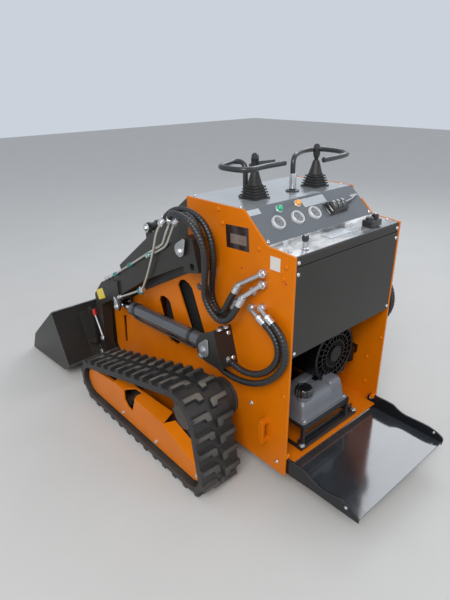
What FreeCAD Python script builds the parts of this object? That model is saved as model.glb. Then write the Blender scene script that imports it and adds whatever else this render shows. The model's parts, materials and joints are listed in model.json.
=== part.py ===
import FreeCAD, Part
import math
import os
import Sketcher
from FreeCAD import Placement, Rotation, Vector

# Compact stand-on loader on rubber tracks, in millimetres, +X forward, +Y left, +Z up.
# Profiles are written with x measured from the console ridge; ridge_x moves them into the shared frame.

SIZES = [
    ("ridge_x", -516.5, "ridge of the console in the shared frame"),
    ("plate_y", 296.0, "middle of a side plate"),
    ("plate_wall", 8.0, "side plate sheet"),
    ("seat_gap", 0.3, "play where two pieces meet"),
    ("sheet_wall", 4.0, "light panel sheet"),
    ("track_out", 179.0, "middle of a track beyond the side plate"),
    ("track_width", 180.0, "rubber belt width"),
    ("lug_height", 17.0, "lug above the belt"),
    ("belt_wall", 25.0, "rubber belt"),
    ("sprocket_x", 105.0, "drive sprocket centre"),
    ("sprocket_z", 290.0, "drive sprocket centre"),
    ("sprocket_reach", 150.0, "lug tips about the sprocket"),
    ("rear_idler_x", 22.0, "rear idler centre"),
    ("rear_idler_z", 100.0, "rear idler centre"),
    ("rear_idler_reach", 100.0, "lug tips about the rear idler"),
    ("front_idler_x", 797.0, "front idler centre"),
    ("front_idler_z", 120.0, "front idler centre"),
    ("front_idler_reach", 120.0, "lug tips about the front idler"),
    ("lug_pitch", 72.0, "spacing of the lugs"),
    ("roller_radius", 45.0, "bottom roller"),
    ("axle_radius", 15.0, "wheel axle"),
    ("arm_out", 50.0, "middle of a lift arm beyond the side plate"),
    ("arm_width", 52.0, "lift arm box"),
    ("pivot_x", 262.0, "lift pivot"),
    ("pivot_z", 890.0, "lift pivot"),
    ("pivot_radius", 20.0, "lift pivot pin"),
    ("barrel_radius", 30.0, "lift cylinder barrel"),
    ("rod_radius", 18.0, "lift cylinder rod"),
    ("base_pin_x", 138.0, "lift cylinder base pin"),
    ("base_pin_z", 526.0, "lift cylinder base pin"),
    ("rod_pin_x", 800.0, "lift cylinder rod pin"),
    ("rod_pin_z", 478.0, "lift cylinder rod pin"),
    ("tilt_x", 1028.0, "bucket tilt pivot"),
    ("tilt_z", 128.0, "bucket tilt pivot"),
    ("cross_x", 905.0, "cross tube between the arms"),
    ("cross_z", 520.0, "cross tube between the arms"),
    ("cross_radius", 38.0, "cross tube"),
    ("tilt_base_x", 944.0, "tilt cylinder base pin"),
    ("tilt_base_z", 776.0, "tilt cylinder base pin"),
    ("bucket_width", 1140.0, "bucket over its side walls"),
    ("bucket_wall", 8.0, "bucket sheet"),
    ("platform_width", 562.0, "platform over its flanges"),
    ("platform_wall", 6.0, "platform sheet"),
    ("step_x", -220.0, "platform pivot"),
    ("step_z", 173.0, "platform pivot"),
    ("handle_radius", 12.0, "handle tube"),
    ("hose_radius", 11.0, "hydraulic hose over its guard"),
]

# Sizes that follow from the ones above
PLATE_IN = "Sheet.plate_y - Sheet.plate_wall / 2 - Sheet.seat_gap"
PLATE_OUT = "Sheet.plate_y + Sheet.plate_wall / 2 + Sheet.seat_gap"
INNER_WIDTH = "2 * (Sheet.plate_y - Sheet.plate_wall / 2 - Sheet.seat_gap)"
HOOD_ROOM = "2 * (Sheet.plate_y - Sheet.plate_wall / 2 - Sheet.seat_gap - Sheet.sheet_wall)"
ARM_MID = "Sheet.plate_y + Sheet.arm_out"
TRACK_MID = "Sheet.plate_y + Sheet.track_out"
CROSS_LENGTH = "2 * (Sheet.plate_y + Sheet.arm_out - Sheet.arm_width / 2 - Sheet.seat_gap)"
BUCKET_ROOM = "Sheet.bucket_width - 2 * Sheet.bucket_wall"
EDGE_WIDTH = "Sheet.bucket_width - 2 * Sheet.bucket_wall - 2 * Sheet.seat_gap"
PLATFORM_ROOM = "Sheet.platform_width - 2 * Sheet.platform_wall"

doc = FreeCAD.newDocument("loader")
sheet = doc.addObject("Spreadsheet::Sheet", "Sheet")
for row, (alias, value, note) in enumerate(SIZES, start=1):
    sheet.set("A%d" % row, str(value))
    sheet.setAlias("A%d" % row, alias)
    sheet.set("B%d" % row, note)
doc.recompute()

PIECES = []


def full(value):
    """Expression for a sheet alias, or the expression itself."""
    return value if "Sheet." in value else "Sheet." + value


def num(value):
    """A number, or what a sheet alias or expression comes to."""
    if isinstance(value, str):
        return float(sheet.evalExpression(full(value)))
    return float(value)


def place(thing, label, shift=None):
    """Name a sub-part and put it in the shared frame; shift is a table of axis and expression."""
    thing.Label = label
    thing.setExpression("Placement.Base.x", "Sheet.ridge_x")
    for axis, expression in (shift or {}).items():
        thing.setExpression("Placement.Base." + axis, expression)
    PIECES.append(thing)
    return thing


def solid_feature(label, shape):
    """A sub-part whose shape is computed here from the sheet's sizes."""
    thing = doc.addObject("Part::Feature", label)
    thing.Shape = shape
    thing.Placement = Placement(Vector(num("ridge_x"), 0, 0), Rotation())
    return place(thing, label)


# Sketch helpers: a loop is a list of (x, z) corners or one ("circle", x, z, r).

def bind(sketch, index, value):
    if isinstance(value, str):
        sketch.setExpression("Constraints[%d]" % index, full(value))


def add_loop(sketch, loop):
    if loop[0] == "circle":
        _, x, y, r = loop
        centre = Vector(num(x), num(y), 0)
        geo = sketch.addGeometry(Part.Circle(centre, Vector(0, 0, 1), num(r)), False)
        bind(sketch, sketch.addConstraint(Sketcher.Constraint("Radius", geo, num(r))), r)
        corners = [(geo, 3, x, y)]
    else:
        first = sketch.GeometryCount
        count = len(loop)
        spots = [Vector(num(x), num(y), 0) for x, y in loop]
        for i in range(count):
            sketch.addGeometry(Part.LineSegment(spots[i], spots[(i + 1) % count]), False)
        for i in range(count):
            after = first + (i + 1) % count
            sketch.addConstraint(Sketcher.Constraint("Coincident", first + i, 2, after, 1))
        corners = [(first + i, 1, x, y) for i, (x, y) in enumerate(loop)]
    for geo, end, x, y in corners:
        for kind, value in (("DistanceX", x), ("DistanceY", y)):
            rule = Sketcher.Constraint(kind, -1, 1, geo, end, num(value))
            bind(sketch, sketch.addConstraint(rule), value)


def outline(body, name, loops, role, offset=0.0):
    sketch = body.newObject("Sketcher::SketchObject", name)
    plane = [f for f in body.Origin.OriginFeatures if f.Role == role][0]
    sketch.AttachmentSupport = [(plane, "")]
    sketch.MapMode = "FlatFace"
    sketch.AttachmentOffset = Placement(Vector(0, 0, offset), Rotation())
    for loop in loops:
        add_loop(sketch, loop)
    return sketch


def slab(body, name, loops, y_mid, width, cut=False):
    """Pad or pocket of width about y_mid, drawn in the x-z plane."""
    sketch = outline(body, name + "_outline", loops, "XZ_Plane", -num(y_mid))
    if isinstance(y_mid, str):
        sketch.setExpression("AttachmentOffset.Base.z", "-(%s)" % full(y_mid))
    feature = body.newObject("PartDesign::Pocket" if cut else "PartDesign::Pad", name)
    feature.Profile = sketch
    feature.SideType = "Symmetric"
    if isinstance(width, str):
        feature.setExpression("Length", full(width))
    else:
        feature.Length = width
    sketch.Visibility = False
    return feature


def new_body(label):
    return doc.addObject("PartDesign::Body", label)


def plate(label, loops, y_mid, width, shift=None):
    body = new_body(label)
    slab(body, label + "_sheet", loops, y_mid, width)
    place(body, label, shift)
    return body


def turned(label, profile, role="XY_Plane", shift=None):
    """Body of revolution of (radius, along) corners about the plane's own upright axis."""
    body = new_body(label)
    sketch = outline(body, label + "_profile", [profile], role)
    spin = body.newObject("PartDesign::Revolution", label + "_turn")
    spin.Profile = sketch
    spin.ReferenceAxis = (sketch, ["V_Axis"])
    spin.Angle = 360
    place(body, label, shift)
    return body


# Shape helpers for computed sub-parts.

def prism(points, y0, y1):
    corners = [Vector(x, y0, z) for x, z in points]
    face = Part.Face(Part.makePolygon(corners + corners[:1]))
    return face.extrude(Vector(0, y1 - y0, 0))


def drum(x, z, r, y0, y1):
    return Part.makeCylinder(r, y1 - y0, Vector(x, y0, z), Vector(0, 1, 0))


def box(x0, x1, y0, y1, z0, z1):
    return Part.makeBox(x1 - x0, y1 - y0, z1 - z0, Vector(x0, y0, z0))


def mirrored(shape, side):
    if side > 0:
        return shape
    return shape.mirror(Vector(0, 0, 0), Vector(0, 1, 0))


def fused(shapes):
    return shapes[0].multiFuse(shapes[1:]).removeSplitter()


def rounded_path(points, radius):
    """Straight runs joined by tangent arcs of one radius."""
    spots = [Vector(*p) for p in points]
    edges = []
    start = spots[0]
    for i in range(1, len(spots) - 1):
        back = (spots[i - 1] - spots[i]).normalize()
        ahead = (spots[i + 1] - spots[i]).normalize()
        half = back.getAngle(ahead) / 2
        reach = radius / math.tan(half)
        enter = spots[i] + back * reach
        leave = spots[i] + ahead * reach
        bisector = (back + ahead).normalize()
        middle = spots[i] + bisector * (radius / math.sin(half) - radius)
        edges.append(Part.LineSegment(start, enter).toShape())
        edges.append(Part.Arc(enter, middle, leave).toShape())
        start = leave
    edges.append(Part.LineSegment(start, spots[-1]).toShape())
    return Part.Wire(edges)


def tube(points, bend, radius):
    path = rounded_path(points, bend)
    first = Vector(*points[0])
    ahead = Vector(*points[1]) - first
    ring = Part.Wire(Part.Circle(first, ahead, radius).toShape())
    return path.makePipeShell([ring], True, False)


def hose_path(points):
    """Straight runs joined by arcs as large as the shorter run at each point allows."""
    spots = [Vector(*p) for p in points]
    edges = []
    radii = []
    start = spots[0]
    for before, here, after in zip(spots, spots[1:], spots[2:]):
        back = (before - here).normalize()
        ahead = (after - here).normalize()
        half = back.getAngle(ahead) / 2
        reach = 0.45 * min((before - here).Length, (after - here).Length)
        radius = reach * math.tan(half)
        radii.append(radius)
        middle = here + (back + ahead).normalize() * (radius / math.sin(half) - radius)
        edges.append(Part.LineSegment(start, here + back * reach).toShape())
        edges.append(Part.Arc(here + back * reach, middle, here + ahead * reach).toShape())
        start = here + ahead * reach
    edges.append(Part.LineSegment(start, spots[-1]).toShape())
    return Part.Wire(edges), radii


def hose(name, points):
    """Round tube along a hose's route, with its radii and volume printed."""
    path, radii = hose_path(points)
    radius = num("hose_radius")
    first = Vector(*points[0])
    ring = Part.Wire(Part.Circle(first, Vector(*points[1]) - first, radius).toShape())
    solid = path.makePipeShell([ring], True, False)
    share = solid.Volume / (math.pi * radius ** 2 * path.Length)
    print("%-22s length %.0f radii %s volume share %.3f"
          % (name, path.Length, [round(r) for r in radii], share))
    solid_feature(name, solid)


def rod(start, end, radius):
    way = Vector(*end) - Vector(*start)
    return Part.makeCylinder(radius, way.Length, Vector(*start), way)


def hull(circles):
    """Closed belt line round circles (x, z, r) given counter-clockwise."""
    count = len(circles)
    runs = []
    for i in range(count):
        x0, z0, r0 = circles[i]
        x1, z1, r1 = circles[(i + 1) % count]
        reach = math.hypot(x1 - x0, z1 - z0)
        lean = math.atan2(z1 - z0, x1 - x0) - math.acos((r0 - r1) / reach)
        leave = Vector(x0 + r0 * math.cos(lean), 0, z0 + r0 * math.sin(lean))
        enter = Vector(x1 + r1 * math.cos(lean), 0, z1 + r1 * math.sin(lean))
        runs.append((leave, enter, lean))
    edges = []
    for i in range(count):
        leave, enter, lean = runs[i]
        following = runs[(i + 1) % count]
        x, z, r = circles[(i + 1) % count]
        last = following[2]
        while last < lean:
            last += 2 * math.pi
        mid = (lean + last) / 2
        over = Vector(x + r * math.cos(mid), 0, z + r * math.sin(mid))
        edges.append(Part.LineSegment(leave, enter).toShape())
        edges.append(Part.Arc(enter, over, following[0]).toShape())
    return Part.Wire(edges)


def offset_chain(points, distance):
    """Chain of corners moved to its left by a distance."""
    spots = [Vector(x, z, 0) for x, z in points]
    ways = [(b - a).normalize() for a, b in zip(spots, spots[1:])]
    lefts = [Vector(-w.y, w.x, 0) for w in ways]
    moved = [spots[0] + lefts[0] * distance]
    for i in range(1, len(spots) - 1):
        bisector = (lefts[i - 1] + lefts[i]).normalize()
        moved.append(spots[i] + bisector * (distance / bisector.dot(lefts[i])))
    moved.append(spots[-1] + lefts[-1] * distance)
    return [(p.x, p.y) for p in moved]


# Chassis

SIDE_PLATE = [
    (-228, 108), (-230, 965), (-108, 974), (0, 1072), (308, 1070), (312, 763), (348, 745),
    (624, 599), (780, 505), (990, 385), (996, 347), (1000, 154), (955, 108),
]
SLOT_REAR = [(300, 700), (322, 716), (352, 723), (382, 712), (402, 683), (322, 508), (300, 497),
             (262, 499), (236, 512), (229, 527)]
SLOT_MIDDLE = [(463, 581), (480, 595), (511, 599), (540, 588), (552, 562), (500, 402), (484, 388),
               (430, 388), (410, 402)]
SLOT_FRONT = [(873, 372), (905, 362), (915, 205), (886, 212)]
LEVER_NOTCH = [(-50.7, 1026), (-38, 1012), (8, 1049), (-7, 1065.6)]
SIDES = (("left", 1), ("right", -1))


def side_plates():
    for name, side in SIDES:
        label = "side_plate_" + name
        body = new_body(label)
        edge = list(SIDE_PLATE)
        if side < 0:
            edge[3:3] = LEVER_NOTCH
        loops = [edge, SLOT_REAR, SLOT_MIDDLE, SLOT_FRONT,
                 ("circle", 253, 720, 11), ("circle", 661, 486, 6)]
        slab(body, label + "_sheet", loops, "%d * Sheet.plate_y" % side, "plate_wall")
        slab(body, label + "_boss", [("circle", "pivot_x", "pivot_z", 36)],
             "%d * (Sheet.plate_y + 13.7)" % side, 19.6)
        slab(body, label + "_pin", [("circle", "pivot_x", "pivot_z", "pivot_radius")],
             "%d * (Sheet.plate_y + 51)" % side, 66)
        slab(body, label + "_step_pin", [("circle", "step_x", "step_z", 10)],
             "%d * (Sheet.plate_y - 12)" % side, 18)
        legs = [[(-138, 206), (-120, 206), (-120, 222), (-138, 222)],
                [(-138, 288), (-120, 288), (-120, 304), (-138, 304)]]
        bar = [(-138, 206), (-120, 206), (-116, 224), (-116, 286), (-120, 304), (-138, 304)]
        slab(body, label + "_tie_legs", legs, "%d * (Sheet.plate_y + 16)" % side, 26)
        slab(body, label + "_tie_bar", [bar], "%d * (Sheet.plate_y + 30)" % side, 12)
        place(body, label)


def floor_and_nose():
    body = new_body("floor_pan")
    left, right = PLATE_IN, "-(%s)" % PLATE_IN
    rear_left, rear_right = "Sheet.platform_width / 2 - 11", "-(Sheet.platform_width / 2 - 11)"
    pan = [(-240, rear_right), (-185, rear_right), (-185, right), (944, right),
           (944, left), (-185, left), (-185, rear_left), (-240, rear_left)]
    sketch = outline(body, "pan_outline", [pan], "XY_Plane", 143)
    pad = body.newObject("PartDesign::Pad", "pan")
    pad.Profile = sketch
    pad.setExpression("Length", "Sheet.plate_wall")
    place(body, "floor_pan")
    nose = [(826, 470), (832, 479), (946, 414), (952, 400), (952, 112), (944.3, 112), (944.3, 398), (940, 405)]
    plate("nose_plate", [nose], 0, INNER_WIDTH)
    body = new_body("hood")
    skin = [(316.3, 1063), (900, 637), (830, 480), (790, 490), (316.3, 756)]
    slab(body, "hood_skin", [skin], 0, INNER_WIDTH)
    hollow = [(300, 1058), (311, 1060), (316, 1057), (892, 636), (824, 478), (780, 440), (300, 700)]
    slab(body, "hood_hollow", [hollow], 0, HOOD_ROOM, cut=True)
    place(body, "hood")


def console():
    top = [(1, 1071), (307.7, 1069), (315.9, 1063), (315.9, 1056), (306, 1064), (4, 1066)]
    plate("console_top", [top], 0, INNER_WIDTH)
    dash = [(0.6, 1070.6), (-107, 973), (-224, 964), (-224, 959.3), (-105, 968.3), (3.6, 1065.8)]
    plate("dash_panel", [dash], 0, INNER_WIDTH)
    plate("rear_strip", [[(-228, 903.3), (-228, 959), (-224, 959), (-224, 903.3)]], 0, INNER_WIDTH)
    plate("rear_panel", [[(-228, 603), (-228, 903), (-224, 903), (-224, 603)]], 0, INNER_WIDTH)


DASH_UP = Vector(-0.672, 0, 0.741)
# x, y, z on the dash or shelf, radius, height
GAUGES = [(-57, 194, 1020, 31, 9), (-57, 96, 1020, 31, 9), (-57, 4, 1020, 31, 9),
          (-20, 152, 1053, 8, 5), (-17, 53, 1056, 8, 5)]


def dash_spot(x, y, lift):
    """Point on the sloping dash, lift above its sheet."""
    foot = Vector(x, y, 1070.6 + (x - 0.6) * 97.6 / 107.6)
    return foot + DASH_UP * lift


def dash_fittings():
    rounds = []
    for x, y, z, r, height in GAUGES:
        rounds.append(Part.makeCylinder(r, height, dash_spot(x, y, 0.2), DASH_UP))
        if r > 20:
            well = Part.makeCylinder(r - 5, 4, dash_spot(x, y, height - 2), DASH_UP)
            rounds[-1] = rounds[-1].cut(well)
    solid_feature("dash_gauges", Part.Compound(rounds))
    block = Part.makeBox(44, 104, 24, Vector(-22, -52, 0))
    for k in range(6):
        block = block.cut(Part.makeBox(50, 7, 10, Vector(-25, -44 + 15.5 * k, 17)))
    spool = Part.makeCylinder(9, 16, Vector(0, -67, 13), Vector(0, 1, 0))
    valve = block.fuse(spool)
    valve.Placement = Placement(dash_spot(-57, -122, 0.2), Rotation(Vector(0, 1, 0), -42.2))
    lever = rod(dash_spot(-57, -188, 13), dash_spot(-44, -246, 14), 6)
    stub = rod(dash_spot(-57, -188, 13), dash_spot(-57, -180, 13), 9)
    shelf_z = 966.4
    knob_foot = Part.makeCylinder(11, 5, Vector(-196, 216, shelf_z + 0.8))
    knob_stem = Part.makeCylinder(6, 30, Vector(-196, 216, shelf_z + 1))
    knob_head = Part.makeCylinder(8, 16, Vector(-196, 216, shelf_z + 26))
    lock = prism([(-215, 965.2), (-170, 968.7), (-170, 1004), (-180, 1010), (-215, 1006)], -195, -130)
    lock = lock.cut(box(-205, -180, -176, -149, 998, 1020))
    key = Part.makeCylinder(9, 20, Vector(-192, -162, 995))
    controls = [fused([valve, stub, lever]), fused([knob_foot, knob_stem, knob_head]), fused([lock, key])]
    solid_feature("dash_controls", Part.Compound(controls))


# side, centre x, centre y, knob height
STICKS = [("left", 106, 146, 1228), ("right", 94, -178, 1232)]
BOOT_FOOT = 1070.9
# side, hand hoop from its foot round to its open end
HOOPS = [
    ("left", [(107, 201, 1071.2), (107, 201, 1172), (186, 158, 1190), (177, 268, 1190),
              (12, 277, 1190), (18, 200, 1190), (41, 66, 1190)]),
    ("right", [(90, -40, 1071.3), (92, -40, 1200), (162, -50, 1200), (170, -252, 1200),
               (25, -264, 1200), (-36, -206, 1200), (-65, -15, 1200)]),
]


def boot(x, y):
    """Square ribbed foot with a smooth cone above."""
    ribs = []
    for level in range(5):
        reach = 40 - 2.8 * level
        neck = reach - 8
        z = BOOT_FOOT + 9.8 * level
        ribs.append(box(x - reach, x + reach, y - reach, y + reach, z, z + 4.5))
        ribs.append(box(x - neck, x + neck, y - neck, y + neck, z + 4.5, z + 9.8))
    ribs.append(Part.makeCone(27, 12, 50, Vector(x, y, BOOT_FOOT + 48.5)))
    return fused(ribs)


def sticks_and_handles():
    for name, x, y, top in STICKS:
        solid_feature("boot_" + name, boot(x, y))
        profile = [(0, 1170.2), (8, 1170.2), (8, top - 54), (11, top - 50), (13.5, top - 40),
                   (14, top - 18), (12, top - 6), (6, top), (0, top)]
        grip = turned("joystick_" + name, profile, "XZ_Plane")
        grip.setExpression("Placement.Base.x", "Sheet.ridge_x + %g" % x)
        grip.Placement.Base.y = y
    for name, path in HOOPS:
        x, y, z = path[0]
        rail = tube(path, 25, num("handle_radius"))
        foot = Part.makeCylinder(15, 6, Vector(x, y, z))
        collar = Part.makeCylinder(14.5, 5, Vector(x, y, z + 20))
        parts = [rail, foot, collar]
        if name == "left":
            parts.append(rod((183, 176, 1186), (190, -40, 1176), num("handle_radius") - 1))
        solid_feature("handle_" + name, fused(parts))


# Engine bay

def rectangle(x0, x1, y0, y1, z):
    corners = [Vector(x0, y0, z), Vector(x1, y0, z), Vector(x1, y1, z), Vector(x0, y1, z)]
    return Part.makePolygon(corners + corners[:1])


# x0, x1, y0, y1 and z of the foot, then the draft of the sides and z of the top
TANK_STEPS = [(-218, -32, -80, 190, 270, 9, 318), (-206, -42, 60, 180, 312, 9, 368),
              (-206, -158, -66, 70, 312, 7, 376)]


def tapered(x0, x1, y0, y1, z0, draft, z1):
    """Block with drafted sides and round upright corners."""
    wires = [rectangle(x0, x1, y0, y1, z0), rectangle(x0 + draft, x1 - draft, y0 + draft, y1 - draft, z1)]
    block = Part.makeLoft(wires, True, True)
    return block.makeFillet(10, [e for e in block.Edges if abs(e.tangentAt(e.FirstParameter).z) > 0.7])


def blower():
    """Round fan housing with its guard of rings and radial fins."""
    y, z = -66, 448
    along = Vector(1, 0, 0)

    def ring(r_out, r_in, x0, length):
        outer = Part.makeCylinder(r_out, length, Vector(x0, y, z), along)
        return outer.cut(Part.makeCylinder(r_in, length, Vector(x0, y, z), along))

    parts = [ring(122, 108, -150, 151.7), Part.makeCylinder(109, 30, Vector(-28.3, y, z), along)]
    for r in (58, 84):
        parts.append(ring(r + 2.5, r - 2.5, -153, 5))
    parts.append(Part.makeCylinder(34, 9, Vector(-156, y, z), along))
    for spoke in range(24):
        bar = box(-152, -146, -2, 2, 30, 110)
        bar.rotate(Vector(0, 0, 0), along, 15 * spoke)
        bar.translate(Vector(0, y, z))
        parts.append(bar)
    for foot_y in (y - 96, y + 66):
        parts.append(box(-138, -118, foot_y, foot_y + 30, z - 128, z - 88))
    return fused(parts)


def engine_bay():
    block = doc.addObject("Part::Box", "engine_block")
    block.Length = 330
    block.Width = 380
    block.Height = 408.7
    place(block, "engine_block", {"x": "Sheet.ridge_x + 2", "y": "-190", "z": "151.3"})
    solid_feature("blower_housing", blower())
    neck = Part.makeCylinder(30, 12, Vector(-160, 136, 362))
    flange = box(-222, -26, -85, 195, 262, 272)
    solid_feature("fuel_tank", fused([tapered(*row) for row in TANK_STEPS] + [neck, flange]))
    cap = Part.makeCylinder(31, 34, Vector(-160, 136, 374.3))
    for k in range(16):
        rib = box(28, 34, -2.5, 2.5, 374.3, 404)
        rib.rotate(Vector(0, 0, 0), Vector(0, 0, 1), 22.5 * k)
        rib.translate(Vector(-160, 136, 0))
        cap = cap.fuse(rib)
    solid_feature("tank_cap", cap.removeSplitter())
    shelf = box(-224, -24, -88, 198, 250, 261.7)
    rails = [box(-226, -213, -148, 203, 151.3, 172), box(-50, -37, -148, 203, 151.3, 172)]
    for y in (-148, 190):
        rails.append(box(-226, -37, y, y + 13, 151.3, 160))
    for x in (-224, -50):
        for y in (-88, 185):
            rails.append(box(x, x + 13, y, y + 13, 160, 251))
    solid_feature("tank_frame", fused([shelf] + rails))
    wall = -num(PLATE_IN)
    canister = Part.makeCylinder(28, 74, Vector(-96, -238, 330))
    lid = Part.makeCylinder(20, 12, Vector(-96, -238, 403))
    arm = box(-112, -80, wall, -240, 352, 384)
    solid_feature("oil_filter", fused([canister, lid, arm]))


# Running gear

def idler_rows():
    back = [("rear_idler", num("rear_idler_x"), num("rear_idler_z"), num("rear_idler_reach")),
            ("front_idler", num("front_idler_x"), num("front_idler_z"), num("front_idler_reach")),
            ("sprocket", num("sprocket_x"), num("sprocket_z"), num("sprocket_reach"))]
    return back


def belt_circles(inset):
    return [(x, z, reach - inset) for _, x, z, reach in idler_rows()]


def track_shape():
    """Belt loop with two staggered rows of hooked lugs, on the left side."""
    lug = num("lug_height")
    wall = num("belt_wall")
    half = num("track_width") / 2
    middle = num(TRACK_MID)
    solid = Part.Face(hull(belt_circles(lug))).extrude(Vector(0, 2 * half, 0))
    room = Part.Face(hull(belt_circles(lug + wall))).extrude(Vector(0, 2 * half, 0))
    belt = solid.cut(room)
    belt.translate(Vector(0, middle - half, 0))
    line = hull(belt_circles(lug))
    count = int(round(line.Length / num("lug_pitch")))
    spots = line.discretize(Number=count * 4 + 1)
    hook = [(-14, 0), (12, 0), (12, 50), (30, 58), (30, 82), (-6, 82), (-14, 70)]
    pieces = [belt]
    for k in range(count):
        for row, edge, side in ((0, middle - half, 1), (2, middle + half, -1)):
            j = 4 * k + row
            here = spots[j]
            way = (spots[(j + 1) % (4 * count)] - spots[j - 1 if j else 4 * count - 1]).normalize()
            out = Vector(0, 1, 0).cross(way)
            base = [here + way * a + Vector(0, edge + side * b, 0) - out * 5 for a, b in hook]
            tip = [here + way * (a * 0.82) + Vector(0, edge + side * (2 + b * 0.96), 0) + out * lug
                   for a, b in hook]
            low = Part.makePolygon(base + base[:1])
            high = Part.makePolygon(tip + tip[:1])
            pieces.append(Part.makeLoft([low, high], True, True))
    ground = box(-500, 1500, middle - half, middle + half, 0, 600)
    return pieces[0].multiFuse(pieces[1:]).common(ground)


def wheel(x, z, r, hub_r, y0, y1):
    """Flanged wheel with a groove for the belt's guide, bored for its axle."""
    body = drum(x, z, r, y0, y1)
    groove = drum(x, z, r + 1, (y0 + y1) / 2 - 16, (y0 + y1) / 2 + 16).cut(drum(x, z, r - 12, y0, y1))
    dish = drum(x, z, r - 14, y1 - 10, y1 + 1).cut(drum(x, z, hub_r, y0, y1 + 1))
    bore = drum(x, z, num("axle_radius") + 0.3, y0 - 1, y1 + 1)
    return body.cut(groove).cut(dish).cut(bore)


ROLLER_X = (180, 318, 456, 594)


def running_gear():
    track = track_shape()
    belt_in = num("lug_height") + num("belt_wall")
    middle = num(TRACK_MID)
    rear = (num("rear_idler_x"), num("rear_idler_z"), num("rear_idler_reach") - belt_in - 0.3)
    front = (num("front_idler_x"), num("front_idler_z"), num("front_idler_reach") - belt_in - 0.3)
    wheels = [wheel(*rear, 26, middle - 50, middle + 30), wheel(*front, 30, middle - 50, middle + 45)]
    roller_z = belt_in + num("roller_radius") + 0.3
    for x in ROLLER_X:
        wheels.append(wheel(x, roller_z, num("roller_radius"), 22, middle - 50, middle + 50))
    sx, sz = num("sprocket_x"), num("sprocket_z")
    reach = num("sprocket_reach") - belt_in - 0.3
    teeth = [drum(sx, sz, reach - 18, middle - 20, middle + 20)]
    for k in range(10):
        tooth = prism([(-15, reach - 30), (15, reach - 30), (8, reach), (-8, reach)], middle - 20, middle + 20)
        tooth.rotate(Vector(0, 0, 0), Vector(0, 1, 0), 36 * k)
        tooth.translate(Vector(sx, 0, sz))
        teeth.append(tooth)
    rim = fused(teeth).common(drum(sx, sz, reach, middle - 20, middle + 20))
    hub = drum(sx, sz, 52, middle - 45, middle + 45)
    dish = drum(sx, sz, 74, middle + 5, middle + 21).cut(drum(sx, sz, 52, middle - 5, middle + 25))
    sprocket = rim.fuse(hub).cut(dish).removeSplitter()
    wall = num(PLATE_OUT)
    motor = fused([drum(sx, sz, 62, wall, middle - 71), drum(sx, sz, 46, middle - 80, middle - 45.3),
                   drum(sx, sz, 78, wall, wall + 12)])
    frame = track_frame(roller_z, middle, wall)
    for name, side in SIDES:
        solid_feature("track_" + name, mirrored(track, side))
        solid_feature("track_wheels_" + name, Part.Compound([mirrored(w, side) for w in wheels]))
        solid_feature("sprocket_" + name, mirrored(sprocket, side))
        solid_feature("drive_motor_" + name, mirrored(motor, side))
        solid_feature("track_frame_" + name, mirrored(frame, side))


def arc_points(x, z, r, first, last, steps):
    out = []
    for k in range(steps + 1):
        angle = math.radians(first + (last - first) * k / steps)
        out.append((x + r * math.cos(angle), z + r * math.sin(angle)))
    return out


def sloping(points, edge, fall, thickness):
    """Sheet through (x, inset) points of a plane that leaves the cover's edge; fall gives its height."""
    corners = [Vector(x, edge - inset, fall(x, inset)) for x, inset in points]
    face = Part.Face(Part.makePolygon(corners + corners[:1]))
    normal = face.normalAt(0, 0)
    return face.extrude(normal * (-thickness if normal.z > 0 else thickness))


def track_frame(roller_z, middle, wall):
    """Cover outside the wheels with its folded shelf, inner plate, axles and cross beams."""
    edge = middle + 70
    line = arc_points(22, 104, 46, 200, 268, 3) + arc_points(797, 120, 66, -88, 58, 6)
    line += [(795, 189), (606, 208), (602, 214), (215, 208), (0, 138), (-22, 126)]
    cover = prism(line, edge - 6, edge)
    shelf = sloping([(206, 0), (602, 0), (602, 41), (217, 55)], edge, lambda x, inset: 214 + 0.4 * inset, 5)
    corner = sloping([(215, 0), (0, 0), (28, 40), (176, 40)], edge,
                     lambda x, inset: 138 + 0.3256 * x + 0.72 * inset, 5)
    lip = prism([(604, 205), (604, 210), (795, 190), (795, 185)], edge - 16, edge - 1)
    arrow = prism([(425, 230), (425, 205), (452, 132), (493, 140), (514, 161), (512, 230)], edge - 9, edge + 3)
    spots = [(512, 0), (425, 0), (431, 17), (418, 42), (471, 38), (505, 16)]
    corners = [Vector(x, edge + 1 - inset, 190) for x, inset in spots]
    window = Part.Face(Part.makePolygon(corners + corners[:1])).extrude(Vector(0, 0, 70))
    inner = prism([(-10, 80), (20, 64), (800, 64), (850, 110), (830, 165), (700, 205), (260, 215),
                   (190, 195), (150, 195), (60, 180), (0, 150)], middle - 80, middle - 72)
    parts = [cover, shelf, corner, lip, inner]
    spots = [(num("rear_idler_x"), num("rear_idler_z")), (num("front_idler_x"), num("front_idler_z"))]
    spots += [(x, roller_z) for x in ROLLER_X]
    for x, z in spots:
        parts.append(drum(x, z, num("axle_radius"), middle - 75, edge - 3))
        parts.append(drum(x, z, 22, middle + 54, edge - 4))
        parts.append(drum(x, z, 22, middle - 74, middle - 54))
    for x in (250, 690):
        parts.append(box(x - 40, x + 40, wall, middle - 78, 150, 192))
    return fused(parts).cut(arrow).cut(window)


# Lift arms and their cylinders

ARM = [
    (192, 942), (236, 946), (301, 913), (387, 873), (513, 806), (793, 637), (959, 550), (1048, 461),
    (1047, 150), (1046, 120), (1034, 109), (1020, 109), (1008, 122), (990, 330), (984, 418),
    (890, 471), (766, 544), (530, 690), (253, 827), (248, 800), (160, 822),
]


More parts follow.
